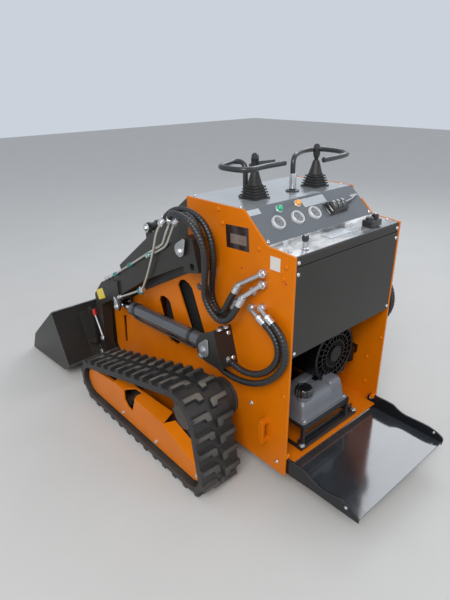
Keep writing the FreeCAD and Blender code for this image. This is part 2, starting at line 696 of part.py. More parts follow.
def lift_arms():
    for name, side in SIDES:
        label = "arm_" + name
        middle = "%d * (%s)" % (side, ARM_MID)
        body = new_body(label)
        slab(body, label + "_box", [ARM], middle, "arm_width")
        strap = [(774, 612), (826, 598), (826, 478), (812, 454), (788, 454), (774, 478)]
        for place_name, out in (("outer", 30.5), ("inner", -30.5)):
            slab(body, "%s_strap_%s" % (label, place_name), [strap], "%d * (%s + %g)" % (side, ARM_MID, out), 9.4)
        for cut_name, hole in (("pivot_bore", ("circle", "pivot_x", "pivot_z", 20.3)),
                               ("tilt_bore", ("circle", "tilt_x", "tilt_z", 12.3)),
                               ("lock_hole", ("circle", 199, 836, 14))):
            slab(body, "%s_%s" % (label, cut_name), [hole], middle, 90, cut=True)
        place(body, label)
    body = new_body("arm_cross_tube")
    slab(body, "cross_tube", [("circle", "cross_x", "cross_z", "cross_radius")], 0, CROSS_LENGTH)
    ear = [(872, 500), (908, 600), (911, 640), (921, 760), (930, 796), (944, 804), (958, 798), (968, 778),
           (964, 620), (945, 520), (925, 484), (890, 484)]
    for place_name, y in (("left", 79), ("right", -79)):
        slab(body, "tilt_ear_" + place_name, [ear], y, 14)
        slab(body, "tilt_spacer_" + place_name, [("circle", "tilt_base_x", "tilt_base_z", 22)], y * 0.65, 42)
    slab(body, "tilt_base_pin", [("circle", "tilt_base_x", "tilt_base_z", 14)], 0, 184)
    place(body, "arm_cross_tube")


def ram(foot, eye, reach, barrel_r, rod_r, bore_from, spare, y_mid, half, pin_r):
    """Barrel and rod solids of a cylinder from foot pin to eye pin, at its length in the photo."""
    start = Vector(foot[0], y_mid, foot[1])
    end = Vector(eye[0], y_mid, eye[1])
    way = (end - start).normalize()
    length = (end - start).Length
    barrel = Part.makeCylinder(barrel_r, reach - 52, start + way * 52, way)
    neck = Part.makeCylinder(barrel_r * 0.7, 52, start + way * 8, way)
    foot_eye = drum(foot[0], foot[1], barrel_r * 0.95, y_mid - half, y_mid + half)
    gland = Part.makeCylinder(barrel_r + 3, 26, start + way * (reach - 26), way)
    barrel = fused([barrel, neck, foot_eye, gland])
    barrel = barrel.cut(Part.makeCylinder(rod_r + 0.3, reach, start + way * bore_from, way))
    barrel = barrel.cut(drum(foot[0], foot[1], pin_r + 0.3, y_mid - half - 1, y_mid + half + 1))
    rod_from = bore_from + spare
    shank = Part.makeCylinder(rod_r, length - rod_from - 10, start + way * rod_from, way)
    rod_eye = drum(eye[0], eye[1], rod_r + 2, y_mid - half, y_mid + half)
    return barrel, fused([shank, rod_eye])


CLEVIS = [(77, 621), (125, 598), (172, 544), (172, 500), (150, 480), (116, 474), (37, 474)]
PIVOT_KEEPER = [(244, 905), (256, 911), (270, 910), (296, 884), (292, 874), (268, 866), (250, 872)]


def cylinders():
    foot = (num("base_pin_x"), num("base_pin_z"))
    eye = (num("rod_pin_x"), num("rod_pin_z"))
    middle = num(ARM_MID)
    wall = num(PLATE_OUT)
    barrel, shank = ram(foot, eye, 566, num("barrel_radius"), num("rod_radius"), 120, 4, middle, 24, 16)
    back_wall = prism([(80, 622), (40, 474), (29, 477), (69, 625)], wall, middle + 39.5)
    port_block = prism([(84, 474), (108, 474), (108, 489), (84, 489)], middle - 36, middle + 32)
    bracket = fused([back_wall, prism(CLEVIS, middle - 43, middle - 35), port_block,
                     prism(CLEVIS, middle + 31.5, middle + 39.5),
                     drum(foot[0], foot[1], 16, middle - 40, middle + 40)])
    drop = Part.Face(hull([(92, 562, 9), (138, 522, 22)])).extrude(Vector(0, 5, 0))
    drop.translate(Vector(0, middle + 40.1, 0))
    flag = prism(PIVOT_KEEPER, middle + 34.2, middle + 40.2)
    keepers = []
    for name, side in SIDES:
        solid_feature("cylinder_bracket_" + name, mirrored(bracket, side))
        solid_feature("lift_barrel_" + name, mirrored(barrel, side))
        solid_feature("lift_rod_" + name, mirrored(shank, side))
        keepers += [mirrored(flag, side), mirrored(drop, side)]
    solid_feature("pin_keepers", Part.Compound(keepers))
    u = Vector(0.428, 0, 0.904)
    n = Vector(-0.904, 0, 0.428)
    spot = Vector(num("tilt_x"), 0, num("tilt_z")) + u * 110 + n * 25
    foot = (num("tilt_base_x"), num("tilt_base_z"))
    barrel, shank = ram(foot, (spot.x, spot.z), 368, 32, 17, 90, 42, 0, 30, 14)
    solid_feature("tilt_barrel", barrel)
    solid_feature("tilt_rod", shank)


# Hydraulic hoses: routes of the left side, from the arm or the barrel's port to the side plate.
# The first two stand on both sides of the machine.

HOSES = [
    ("arm_hose_inner", [(256, 381, 1009), (230, 378, 1034), (180, 372, 1018), (146, 368, 972),
                        (134, 366, 912), (137, 363, 850), (149, 356, 788), (149, 348, 730),
                        (119, 344, 688), (79, 342, 678), (49, 344, 708), (27, 343, 752), (4, 338, 791)]),
    ("arm_hose_outer", [(298, 388, 1004), (276, 402, 1029), (221, 409, 1037), (155, 405, 1021),
                        (112, 396, 972), (98, 390, 915), (104, 385, 852), (122, 378, 792),
                        (132, 372, 736), (105, 368, 690), (62, 366, 666), (20, 362, 678),
                        (-11, 359, 713.5), (-29, 351, 754)]),
    ("arm_hose_third", [(344, 381, 992), (322, 370, 1022), (272, 356, 1038), (214, 348, 1034),
                        (156, 345, 1008), (124, 342, 962), (114, 340, 908), (124, 332, 850),
                        (146, 322, 788), (160, 316, 728), (140, 315, 678), (100, 315, 657),
                        (65, 315, 677), (46, 315, 712)]),
    ("port_hose_inner", [(-127, 326, 712), (-165, 323, 690), (-193, 321, 645), (-192, 322, 592),
                         (-160, 326, 540), (-108, 334, 500), (-50, 341, 488), (-4, 342, 493), (28, 342, 501)]),
    ("port_hose_outer", [(-165, 326, 726), (-204, 323, 700), (-228, 322, 640), (-222, 324, 580),
                         (-182, 330, 516), (-118, 338, 468), (-46, 342, 444), (24, 344, 438),
                         (74, 345, 444), (95.5, 345, 459), (96, 345, 473.4)]),
]
BOTH_SIDES = ("arm_hose_inner", "arm_hose_outer")
# hose, x and z of its fitting on the side plate
PLATE_ENDS = [("arm_hose_inner", -103, 880), ("arm_hose_outer", -104, 841), ("arm_hose_third", -62, 806),
              ("port_hose_inner", -53, 739), ("port_hose_outer", -103, 756)]
# hose, y of its hard tube, the tube's points after the crimp as (x, y out from the arm, z)
ARM_TUBES = [("arm_hose_inner", [(298, 8.3, 950), (340, 8.3, 886), (356, 8.3, 872)]),
             ("arm_hose_outer", [(330, 8.3, 946), (358, 8.3, 896), (421, 8.3, 847), (489, 8.3, 809),
                                 (761, 8.3, 661)]),
             ("arm_hose_third", [(400, 26, 905), (430, 26, 848), (500, 26, 744), (575, 26, 640)])]


def crimp(start, following, length):
    """Ferrule on the end of a hose, and where it ends."""
    axis = (Vector(*start) - Vector(*following)).normalize()
    sleeve = Part.makeCylinder(13, length, Vector(*start), axis)
    return sleeve, Vector(*start) + axis * length


def hoses():
    routes = dict(HOSES)
    for name, points in HOSES:
        hose(name + "_left", points)
        if name in BOTH_SIDES:
            hose(name + "_right", [(x, -y, z) for x, y, z in points])
    wall = num(PLATE_OUT)
    fittings = []
    for name, x, z in PLATE_ENDS:
        route = routes[name]
        sleeve, knee = crimp(route[-1], route[-2], 36) if name.startswith("arm") else crimp(route[0], route[1], 30)
        boss = drum(x, z, 14, wall, 316)
        nut = drum(x, z, 10, 312, 324)
        pipe = rod(knee, (x, 318, z), 8)
        fitting = fused([sleeve, pipe, Part.makeSphere(9, knee), boss, nut])
        fittings.append(fitting)
        if name in BOTH_SIDES:
            fittings.append(mirrored(fitting, -1))
    fittings.append(rod((28, 342, 501), (43, 342, 504.75), 12).cut(prism(
        [(80, 622), (40, 474), (29, 477), (69, 625)], wall, 400)))
    solid_feature("hose_fittings", Part.Compound(fittings))
    face = num(ARM_MID) + num("arm_width") / 2
    tubes = []
    for name, points in ARM_TUBES:
        route = routes[name]
        sleeve, knee = crimp(route[0], route[1], 33)
        path = [tuple(knee)] + [(x, face + out, z) for x, out, z in points]
        line = tube(path, 12, 8)
        x, y, z = path[-1]
        parts = [sleeve, line, Part.makeSphere(8.5, knee), box(x - 10, x + 10, face + 0.3, y + 10, z - 10, z + 10)]
        tubes.append(fused(parts))
    solid_feature("arm_tubes", Part.Compound(tubes + [mirrored(t, -1) for t in tubes[:2]]))


# Attachment plate, bucket, platform

def attach_point(along, out):
    """Point along the leaning plate above the tilt pivot, out towards the rear."""
    return (num("tilt_x") + 0.428 * along - 0.904 * out, num("tilt_z") + 0.904 * along + 0.428 * out)


def leaning(points, y0, y1):
    return prism([attach_point(a, b) for a, b in points], y0, y1)


def attachment():
    sheet_side = [(-12, -32.7), (236, -32.7), (236, -22.5), (-12, -22.5)]
    base = leaning(sheet_side, -430, 430)
    base = base.cut(leaning([(60, -40), (215, -40), (215, -10), (60, -10)], -46, 46))
    parts = [base]
    ear = [(-12, -23), (30, -23), (36, -10), (14, 15), (-8, 17), (-17, 6), (-17, -10)]
    rib = [(20, -23), (150, -23), (136, 40), (118, 52), (96, 46), (40, -5)]
    middle = num(ARM_MID)
    for side in (1, -1):
        for y0, y1 in ((middle - 40, middle - 31), (middle + 31, middle + 40)):
            low, high = sorted((side * y0, side * y1))
            parts.append(leaning(ear, low, high))
        low, high = sorted((side * (middle - 40), side * (middle + 40)))
        parts.append(drum(num("tilt_x"), num("tilt_z"), 12, low, high))
        low, high = sorted((side * 38, side * 50))
        parts.append(leaning(rib, low, high))
    solid_feature("attach_plate", fused(parts))
    foot = attach_point(70, -21.7)
    post = Part.makeCylinder(14, 44, Vector(foot[0], 412, foot[1]), Vector(-0.904, 0, 0.428))
    lever = fused([post, leaning([(56, 8), (84, 8), (246, 64), (250, 78), (236, 80), (60, 26)], 398, 411)])
    solid_feature("attach_lever", lever)


BUCKET_SKIN = [(1591, 0), (1109, 49), (1052.1, 101.8), (1177.8, 367.4)]


def bucket():
    body = new_body("bucket")
    side = [(1177.8, 367.4), (1494, 123), (1532, 61), (1560, 14), (1560, 3.2), (1109, 49), (1052.1, 101.8)]
    slab(body, "bucket_block", [side], 0, "bucket_width")
    inner = offset_chain(BUCKET_SKIN, -num("bucket_wall"))
    room = [(inner[0][0] + 60, inner[0][1] - 6)] + inner[1:3]
    top = inner[3]
    room += [(top[0] + 60, top[1] + 125), (1700, 500)]
    slab(body, "bucket_room", [room], 0, BUCKET_ROOM, cut=True)
    place(body, "bucket")
    edge = [(1591, 0), (1584, 6), (1500, 29), (1470, 32), (1470, 20.7), (1560.3, 11.5), (1560.3, 3.1)]
    plate("cutting_edge", [edge], 0, EDGE_WIDTH)


def platform():
    flange = [(-248, 188), (-242, 191), (-230, 191), (-208, 186), (-202, 173), (-208, 160), (-232, 148),
              (-245, 86), (-340, 91), (-546, 91), (-546, 112), (-556, 118), (-556, 140), (-546, 158),
              (-485, 168), (-370, 160), (-332, 176)]
    body = new_body("platform")
    slab(body, "platform_block", [flange], 0, "platform_width")
    room = [(-600, 97), (-180, 97), (-180, 220), (-600, 220)]
    slab(body, "platform_room", [room], 0, PLATFORM_ROOM, cut=True)
    slab(body, "platform_bores", [("circle", "step_x", "step_z", 10.3)], 0, 700, cut=True)
    slab(body, "platform_holes", [("circle", -515, 148, 8)], 0, 700, cut=True)
    place(body, "platform")


def finish():
    doc.recompute()
    os.makedirs("parts", exist_ok=True)
    trouble = []
    for thing in doc.Objects:
        if "Invalid" in thing.State or "Error" in thing.State:
            trouble.append("%s %s" % (thing.Label, thing.State))
    for thing in PIECES:
        shape = thing.Shape
        if shape.isNull() or not shape.isValid() or shape.Volume <= 0:
            trouble.append("%s shape" % thing.Label)
    if trouble:
        raise RuntimeError("; ".join(trouble))
    low = [1e9, 1e9, 1e9]
    high = [-1e9, -1e9, -1e9]
    for thing in PIECES:
        thing.Shape.exportStep("parts/%s.step" % thing.Label)
        b = thing.Shape.BoundBox
        low = [min(low[0], b.XMin), min(low[1], b.YMin), min(low[2], b.ZMin)]
        high = [max(high[0], b.XMax), max(high[1], b.YMax), max(high[2], b.ZMax)]
        print("%-24s solids %d volume %.0f cm3" % (thing.Label, len(thing.Shape.Solids), thing.Shape.Volume / 1000))
    print("pieces", len(PIECES), "box", low, high)


side_plates()
floor_and_nose()
console()
dash_fittings()
sticks_and_handles()
engine_bay()
running_gear()
lift_arms()
cylinders()
hoses()
attachment()
bucket()
platform()
finish()
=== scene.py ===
import json
import math

import bmesh
import bpy
import numpy as np
from mathutils import Matrix, Vector


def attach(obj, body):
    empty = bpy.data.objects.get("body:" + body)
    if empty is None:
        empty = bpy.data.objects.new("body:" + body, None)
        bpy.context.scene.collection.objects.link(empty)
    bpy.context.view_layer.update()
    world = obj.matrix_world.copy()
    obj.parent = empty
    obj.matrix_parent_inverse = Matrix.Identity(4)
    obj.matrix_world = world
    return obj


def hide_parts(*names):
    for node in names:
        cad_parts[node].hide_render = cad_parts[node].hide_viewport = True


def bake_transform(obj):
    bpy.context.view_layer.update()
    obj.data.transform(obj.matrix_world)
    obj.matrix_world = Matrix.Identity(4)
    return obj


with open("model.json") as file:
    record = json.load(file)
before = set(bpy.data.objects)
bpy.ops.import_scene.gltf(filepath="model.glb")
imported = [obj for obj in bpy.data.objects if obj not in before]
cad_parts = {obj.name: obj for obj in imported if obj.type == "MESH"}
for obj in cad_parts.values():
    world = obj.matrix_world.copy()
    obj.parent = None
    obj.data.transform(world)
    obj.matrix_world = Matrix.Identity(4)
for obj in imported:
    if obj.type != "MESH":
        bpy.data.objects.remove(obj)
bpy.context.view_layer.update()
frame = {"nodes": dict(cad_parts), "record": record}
scene = bpy.context.scene
RIDGE = -516.5      # console ridge in the frame, mm
PLATE = 300.0       # outer face of a side plate, mm from the middle
ARM_FACE = 372.0    # outer face of a lift arm
TOP_FACE = 1070.6   # console top
SHELF = 966.6       # shelf under the dash
SIDES = ((1, "left"), (-1, "right"))
LEFT, RIGHT, BACK, FORWARD, UP = (0, 1, 0), (0, -1, 0), (-1, 0, 0), (1, 0, 0), (0, 0, 1)


def metres(points):
    """Millimetres measured from the console ridge, as frame metres."""
    return (np.asarray(points, float) + (RIDGE, 0, 0)) / 1000


# Camera where the photograph was taken from

FOCAL, PHOTO_HEIGHT = 483.5, 600            # pixels
YAW, PITCH, ROLL = -40.92, 24.40, -0.85     # degrees
CAMERA_SPOT = (-1138, 1373, 1458)           # mm, from the console ridge
SENSOR = 36                                 # mm
yaw, pitch, roll = (math.radians(a) for a in (YAW, PITCH, ROLL))
ahead = Vector((math.cos(yaw) * math.cos(pitch), math.sin(yaw) * math.cos(pitch), -math.sin(pitch)))
level_right = Vector((math.sin(yaw), -math.cos(yaw), 0))
level_up = level_right.cross(ahead)
camera_right = level_right * math.cos(roll) + level_up * math.sin(roll)
camera_up = level_up * math.cos(roll) - level_right * math.sin(roll)
camera_data = bpy.data.cameras.new("photo_camera")
camera_data.lens = FOCAL / PHOTO_HEIGHT * SENSOR
camera_data.sensor_width = SENSOR
camera_data.sensor_fit = "AUTO"
camera_data.clip_end = 60
camera = bpy.data.objects.new("photo_camera", camera_data)
facing = Matrix((camera_right, camera_up, -ahead)).transposed()
camera.matrix_world = Matrix.Translation(Vector(metres(CAMERA_SPOT))) @ facing.to_4x4()
scene.collection.objects.link(camera)
scene.camera = camera
scene.view_settings.view_transform = "Standard"


# Finishes

DUST_COLOUR = (0.36, 0.29, 0.21)
PAINTED_REFLECTION_COLOUR = (0.42, 0.43, 0.42)
PALE_ORANGE = (0.90, 0.38, 0.07)


def put(tree, value, socket):
    """A number or colour set on the socket, or another node's output joined to it."""
    if isinstance(value, (int, float)):
        socket.default_value = value
    elif isinstance(value, tuple):
        socket.default_value = (*value[:3], 1.0)
    else:
        tree.links.new(value, socket)


def noise(tree, coords, scale, detail=4.0, rough=0.55):
    """Cloudy noise on the coordinates, 0 to 1."""
    node = tree.nodes.new("ShaderNodeTexNoise")
    node.inputs["Scale"].default_value = scale
    node.inputs["Detail"].default_value = detail
    node.inputs["Roughness"].default_value = rough
    tree.links.new(coords, node.inputs["Vector"])
    return node.outputs["Fac"]


def ramp(tree, value, low, high, out_low=0.0, out_high=1.0):
    """The value carried in a straight line from low..high to out_low..out_high, held at both ends."""
    node = tree.nodes.new("ShaderNodeMapRange")
    for name, number in (("From Min", low), ("From Max", high), ("To Min", out_low), ("To Max", out_high)):
        node.inputs[name].default_value = number
    tree.links.new(value, node.inputs["Value"])
    return node.outputs["Result"]


def times(tree, first, second):
    """First times second."""
    node = tree.nodes.new("ShaderNodeMath")
    node.operation = "MULTIPLY"
    put(tree, first, node.inputs[0])
    put(tree, second, node.inputs[1])
    return node.outputs[0]


def mixed(tree, factor, first, second):
    """The first colour at factor 0, the second at factor 1."""
    node = tree.nodes.new("ShaderNodeMix")
    node.data_type = "RGBA"
    for value, name in ((factor, "Factor"), (first, "A"), (second, "B")):
        put(tree, value, node.inputs[name])
    return node.outputs["Result"]


def stretched(tree, coords, scale):
    """Coordinates times the scale, axis by axis."""
    node = tree.nodes.new("ShaderNodeMapping")
    node.inputs["Scale"].default_value = scale
    tree.links.new(coords, node.inputs["Vector"])
    return node.outputs["Vector"]


def facing_up(tree, geometry, low, high):
    """0 to 1 as the upward part of the face's normal goes from low to high."""
    lie = tree.nodes.new("ShaderNodeSeparateXYZ")
    tree.links.new(geometry.outputs["True Normal"], lie.inputs["Vector"])
    return ramp(tree, lie.outputs["Z"], low, high)


def finish(name, colour, rough, metal=0.0, coat=0.0, cloud=0.06, grain=60.0, bump=0.0, edge=None,
           edge_highlight_and_wear=0.0, dust=0.0, dust_top=0.5, settle=0.0, scuff=0.0, scuff_colour=(0.3, 0.3, 0.3),
           glow=0.0, painted_reflection=0.0, round_by=0.0012, sheen=(1.0, 1.0, 1.0), shine=0.5):
    """Paint, rubber or metal.

    The tone drifts in soft clouds; edges, found where a rounded normal leaves the flat one, show the edge
    colour, a painted highlight that is partly wear; dust thickens towards the ground and settles on faces
    that look up; scuffs are long thin noise; a painted reflection lies as a pale smeared tone on level faces.
    """
    mat = bpy.data.materials.new(name)
    mat.use_nodes = True
    tree = mat.node_tree
    shader = tree.nodes["Principled BSDF"]
    coords = tree.nodes.new("ShaderNodeTexCoord").outputs["Object"]
    geometry = tree.nodes.new("ShaderNodeNewGeometry")
    broad = noise(tree, coords, 7.0)
    fine = noise(tree, coords, grain, 6.0)
    dark = tuple(c * (1 - cloud) for c in colour)
    light = tuple(min(1.0, c * (1 + cloud)) for c in colour)
    tone = mixed(tree, ramp(tree, broad, 0.35, 0.65), dark, light)
    if scuff:
        marks = noise(tree, stretched(tree, coords, (9.0, 90.0, 90.0)), 3.0, 5.0)
        tone = mixed(tree, times(tree, ramp(tree, marks, 0.60, 0.72), scuff), tone, scuff_colour)
    soft_edge = tree.nodes.new("ShaderNodeBevel")
    soft_edge.samples = 4
    soft_edge.inputs["Radius"].default_value = round_by
    normal = soft_edge.outputs["Normal"]
    # Edge colour: a painted highlight along the edges, partly wear
    if edge:
        turn = tree.nodes.new("ShaderNodeVectorMath")
        turn.operation = "DOT_PRODUCT"
        tree.links.new(normal, turn.inputs[0])
        tree.links.new(geometry.outputs["True Normal"], turn.inputs[1])
        tone = mixed(tree, times(tree, ramp(tree, turn.outputs["Value"], 0.995, 0.86), edge_highlight_and_wear), tone, edge)
    if dust:
        place = tree.nodes.new("ShaderNodeSeparateXYZ")
        tree.links.new(coords, place.inputs["Vector"])
        low = ramp(tree, place.outputs["Z"], dust_top, 0.0)
        patchy = times(tree, low, ramp(tree, fine, 0.35, 0.75))
        tone = mixed(tree, times(tree, patchy, dust), tone, DUST_COLOUR)
    if settle:
        up = times(tree, facing_up(tree, geometry, 0.4, 1.0), ramp(tree, broad, 0.38, 0.66))
        tone = mixed(tree, times(tree, up, settle), tone, DUST_COLOUR)
    # Painted reflection: a pale smeared tone on level faces, standing in for the sky they reflect
    if painted_reflection:
        reflection_streaks = noise(tree, stretched(tree, coords, (22.0, 5.0, 1.0)), 1.4, 5.0, 0.6)
        up = times(tree, facing_up(tree, geometry, 0.96, 0.99), ramp(tree, reflection_streaks, 0.36, 0.56))
        tone = mixed(tree, times(tree, up, painted_reflection), tone, PAINTED_REFLECTION_COLOUR)
    tree.links.new(tone, shader.inputs["Base Color"])
    uneven = ramp(tree, fine, 0.3, 0.7, max(0.03, rough - 0.05), rough + 0.06)
    tree.links.new(uneven, shader.inputs["Roughness"])
    for socket, value in (("Metallic", metal), ("Coat Weight", coat), ("Coat Roughness", 0.12),
                          ("Specular Tint", (*sheen, 1)), ("Specular IOR Level", shine)):
        shader.inputs[socket].default_value = value
    if glow:
        shader.inputs["Emission Color"].default_value = (*colour, 1)
        shader.inputs["Emission Strength"].default_value = glow
    if bump:
        relief = tree.nodes.new("ShaderNodeBump")
        relief.inputs["Strength"].default_value = bump
        relief.inputs["Distance"].default_value = 0.001
        tree.links.new(fine, relief.inputs["Height"])
        tree.links.new(normal, relief.inputs["Normal"])
        normal = relief.outputs["Normal"]
    tree.links.new(normal, shader.inputs["Normal"])
    return mat


# One finish for each slot of the record
SLOT_LOOKS = {
    "plate_orange": dict(
        colour=(0.60, 0.145, 0.0012), rough=0.36, cloud=0.05, grain=900, bump=0.05, edge=PALE_ORANGE,
        edge_highlight_and_wear=0.5, dust=0.04, dust_top=0.2, settle=0.02, round_by=0.002, sheen=(1.0, 0.40, 0.03)),
    "panel_grey": dict(
        colour=(0.088, 0.094, 0.104), rough=0.34, coat=0.45, cloud=0.05, grain=700, bump=0.08,
        edge=(0.3, 0.31, 0.33), edge_highlight_and_wear=0.6, settle=0.06),
    "dash_black": dict(
        colour=(0.012, 0.012, 0.013), rough=0.3, coat=0.3, edge=(0.09, 0.09, 0.09), edge_highlight_and_wear=0.5),
    "boot_rubber": dict(
        colour=(0.016, 0.015, 0.014), rough=0.5, grain=400, bump=0.15, edge=(0.20, 0.19, 0.18),
        edge_highlight_and_wear=0.75, settle=0.05),
    "handle_black": dict(
        colour=(0.018, 0.019, 0.021), rough=0.36, coat=0.25, grain=600, bump=0.1, edge=(0.1, 0.1, 0.1),
        edge_highlight_and_wear=0.3),
    "engine_dark": dict(
        colour=(0.010, 0.010, 0.011), rough=0.34, coat=0.25, grain=500, bump=0.12, edge=(0.08, 0.08, 0.08),
        edge_highlight_and_wear=0.5, settle=0.04),
    "tank_grey": dict(
        colour=(0.27, 0.28, 0.31), rough=0.42, grain=500, bump=0.1, edge=(0.5, 0.51, 0.54), edge_highlight_and_wear=0.4,
        settle=0.1),
    "cap_black": dict(colour=(0.012, 0.012, 0.012), rough=0.42, edge=(0.08, 0.08, 0.08), edge_highlight_and_wear=0.5),
    "track_rubber": dict(
        colour=(0.016, 0.016, 0.017), rough=0.52, cloud=0.2, grain=160, bump=0.4,
        edge=(0.085, 0.082, 0.078), edge_highlight_and_wear=0.5, dust=0.12, dust_top=0.35, settle=0.05, scuff=0.2,
        scuff_colour=(0.06, 0.056, 0.05)),
    "wheel_dark": dict(
        colour=(0.035, 0.035, 0.037), rough=0.5, metal=0.2, grain=200, bump=0.2, edge=(0.12, 0.11, 0.1),
        edge_highlight_and_wear=0.5, dust=0.55, dust_top=0.45),
    "arm_dark": dict(
        colour=(0.021, 0.0195, 0.0175), rough=0.34, cloud=0.08, grain=500, bump=0.12,
        edge=(0.12, 0.12, 0.12), edge_highlight_and_wear=0.6, dust=0.06, dust_top=0.5, settle=0.03, shine=0.35),
    "barrel_dark": dict(
        colour=(0.065, 0.070, 0.080), rough=0.26, coat=0.5, cloud=0.05, grain=500, bump=0.05,
        edge=(0.2, 0.21, 0.23), edge_highlight_and_wear=0.5, settle=0.05),
    "rod_chrome": dict(colour=(0.75, 0.75, 0.77), rough=0.12, metal=1.0, cloud=0.02),
    "bucket_dark": dict(
        colour=(0.016, 0.015, 0.014), rough=0.36, shine=0.35, cloud=0.12, grain=300, bump=0.15,
        edge=(0.30, 0.30, 0.31), edge_highlight_and_wear=0.8, dust=0.08, dust_top=0.2, settle=0.05, scuff=0.3,
        scuff_colour=(0.07, 0.065, 0.06), round_by=0.003),
    "edge_steel": dict(
        colour=(0.42, 0.42, 0.43), rough=0.32, metal=0.9, cloud=0.15, grain=120, bump=0.2, dust=0.2,
        dust_top=0.08, scuff=0.5, scuff_colour=(0.2, 0.17, 0.14)),
    "platform_dark": dict(
        colour=(0.010, 0.011, 0.013), rough=0.14, coat=0.6, cloud=0.08, grain=200, bump=0.02,
        edge=(0.30, 0.31, 0.33), edge_highlight_and_wear=0.6),
    "hose_rubber": dict(colour=(0.013, 0.013, 0.014), rough=0.42, coat=0.1, grain=700, bump=0.15),
    "fitting_zinc": dict(
        colour=(0.56, 0.57, 0.59), rough=0.3, metal=0.85, cloud=0.1, grain=300, bump=0.1,
        edge=(0.8, 0.8, 0.82), edge_highlight_and_wear=0.5),
    "line_dark": dict(
        colour=(0.50, 0.49, 0.45), rough=0.34, metal=0.7, cloud=0.1, grain=300, bump=0.05,
        edge=(0.75, 0.74, 0.7), edge_highlight_and_wear=0.4),
}
# Finishes of the small pieces, each with the slot of the record it belongs to
TRIM_LOOKS = {
    "hose_guard": ("hose_rubber", dict(
        colour=(0.014, 0.014, 0.015), rough=0.36, coat=0.15, grain=500, bump=0.2)),
    "rear_sheet": ("panel_grey", dict(
        colour=(0.027, 0.025, 0.0225), rough=0.34, shine=0.3, cloud=0.05, grain=600, bump=0.06,
        edge=(0.2, 0.19, 0.18), edge_highlight_and_wear=0.6)),
    "keeper_steel": ("fitting_zinc", dict(
        colour=(0.34, 0.36, 0.37), rough=0.3, metal=0.7, cloud=0.25, grain=90, bump=0.2,
        edge=(0.85, 0.85, 0.87), edge_highlight_and_wear=0.8, round_by=0.002)),
    "zinc": ("fitting_zinc", dict(
        colour=(0.60, 0.61, 0.63), rough=0.27, metal=0.85, cloud=0.08, grain=300, bump=0.1,
        edge=(0.85, 0.85, 0.87), edge_highlight_and_wear=0.5)),
    "bezel": ("fitting_zinc", dict(
        colour=(0.66, 0.67, 0.68), rough=0.3, metal=0.4, cloud=0.04, edge=(0.85, 0.85, 0.86),
        edge_highlight_and_wear=0.6)),
    "dial": ("tank_grey", dict(colour=(0.20, 0.205, 0.21), rough=0.2, coat=0.8, cloud=0.04)),
    "dial_mark": ("dash_black", dict(colour=(0.10, 0.10, 0.11), rough=0.4)),
    "lamp_green": ("dash_black", dict(colour=(0.01, 0.33, 0.17), rough=0.15, coat=0.8, glow=0.25)),
    "lamp_amber": ("dash_black", dict(colour=(0.75, 0.30, 0.02), rough=0.15, coat=0.8, glow=0.15)),
    "label_white": ("tank_grey", dict(
        colour=(0.42, 0.45, 0.48), rough=0.25, coat=0.5, cloud=0.10, grain=90)),
    "label_paper": ("tank_grey", dict(
        colour=(0.60, 0.57, 0.52), rough=0.4, coat=0.2, cloud=0.06, grain=90)),
    "label_bronze": ("tank_grey", dict(
        colour=(0.16, 0.12, 0.10), rough=0.25, coat=0.6, cloud=0.12, grain=90)),
    "flange_black": ("platform_dark", dict(
        colour=(0.008, 0.009, 0.011), rough=0.32, coat=0.2, cloud=0.08, grain=200, edge=(0.30, 0.31, 0.33),
        edge_highlight_and_wear=0.7, shine=0.3)),
    "tread_plate": ("platform_dark", dict(
        colour=(0.030, 0.034, 0.040), rough=0.11, coat=1.0, cloud=0.25, grain=60, bump=0.01,
        edge=(0.35, 0.36, 0.38), edge_highlight_and_wear=0.5, shine=0.8)),
    "label_black": ("dash_black", dict(colour=(0.022, 0.010, 0.010), rough=0.2, coat=0.5, cloud=0.1)),
    "lug_face": ("track_rubber", dict(
        colour=(0.055, 0.053, 0.050), rough=0.7, cloud=0.45, grain=90, bump=0.6, settle=0.3,
        edge=(0.03, 0.03, 0.03), edge_highlight_and_wear=0.8, scuff=0.6, scuff_colour=(0.03, 0.029, 0.028))),
    "label_yellow": ("plate_orange", dict(colour=(0.72, 0.55, 0.03), rough=0.3, coat=0.4)),
    "gloss_black": ("dash_black", dict(
        colour=(0.010, 0.010, 0.011), rough=0.16, coat=0.6, edge=(0.12, 0.12, 0.12), edge_highlight_and_wear=0.5)),
    "plastic_grey": ("dash_black", dict(
        colour=(0.075, 0.077, 0.08), rough=0.3, coat=0.3, edge=(0.3, 0.3, 0.3), edge_highlight_and_wear=0.6)),
    "handle_tube": ("handle_black", dict(
        colour=(0.018, 0.019, 0.021), rough=0.36, coat=0.25, grain=600, bump=0.1)),
    "line_zinc": ("line_dark", dict(
        colour=(0.52, 0.51, 0.46), rough=0.32, metal=0.6, cloud=0.1, grain=300)),
    "tank_plastic": ("tank_grey", dict(
        colour=(0.115, 0.122, 0.14), rough=0.38, coat=0.15, cloud=0.05, grain=500, bump=0.1, settle=0.06)),
    # Near black: painted shade behind the slots, and the dark joint between the rear sheets
    "slot_shade_and_joint_dark": ("engine_dark", dict(colour=(0.004, 0.004, 0.004), rough=0.9, cloud=0.1)),
    "red_grip": ("cap_black", dict(colour=(0.45, 0.012, 0.01), rough=0.35, coat=0.3)),
    "orange_trim": ("plate_orange", dict(
        colour=(0.60, 0.145, 0.0012), rough=0.34, cloud=0.05, grain=300, bump=0.1, edge=PALE_ORANGE,
        edge_highlight_and_wear=0.6, sheen=(1.0, 0.42, 0.05))),
    "black_trim": ("engine_dark", dict(
        colour=(0.014, 0.014, 0.015), rough=0.35, coat=0.2, grain=300, bump=0.1, edge=(0.12, 0.12, 0.12),
        edge_highlight_and_wear=0.6)),
    "teal_trim": ("fitting_zinc", dict(colour=(0.04, 0.22, 0.20), rough=0.35, metal=0.3, cloud=0.1)),
}
slot_finish = {name: finish(name, **look) for name, look in SLOT_LOOKS.items()}
trim_finish = {name: (slot, finish(name, **look)) for name, (slot, look) in TRIM_LOOKS.items()}
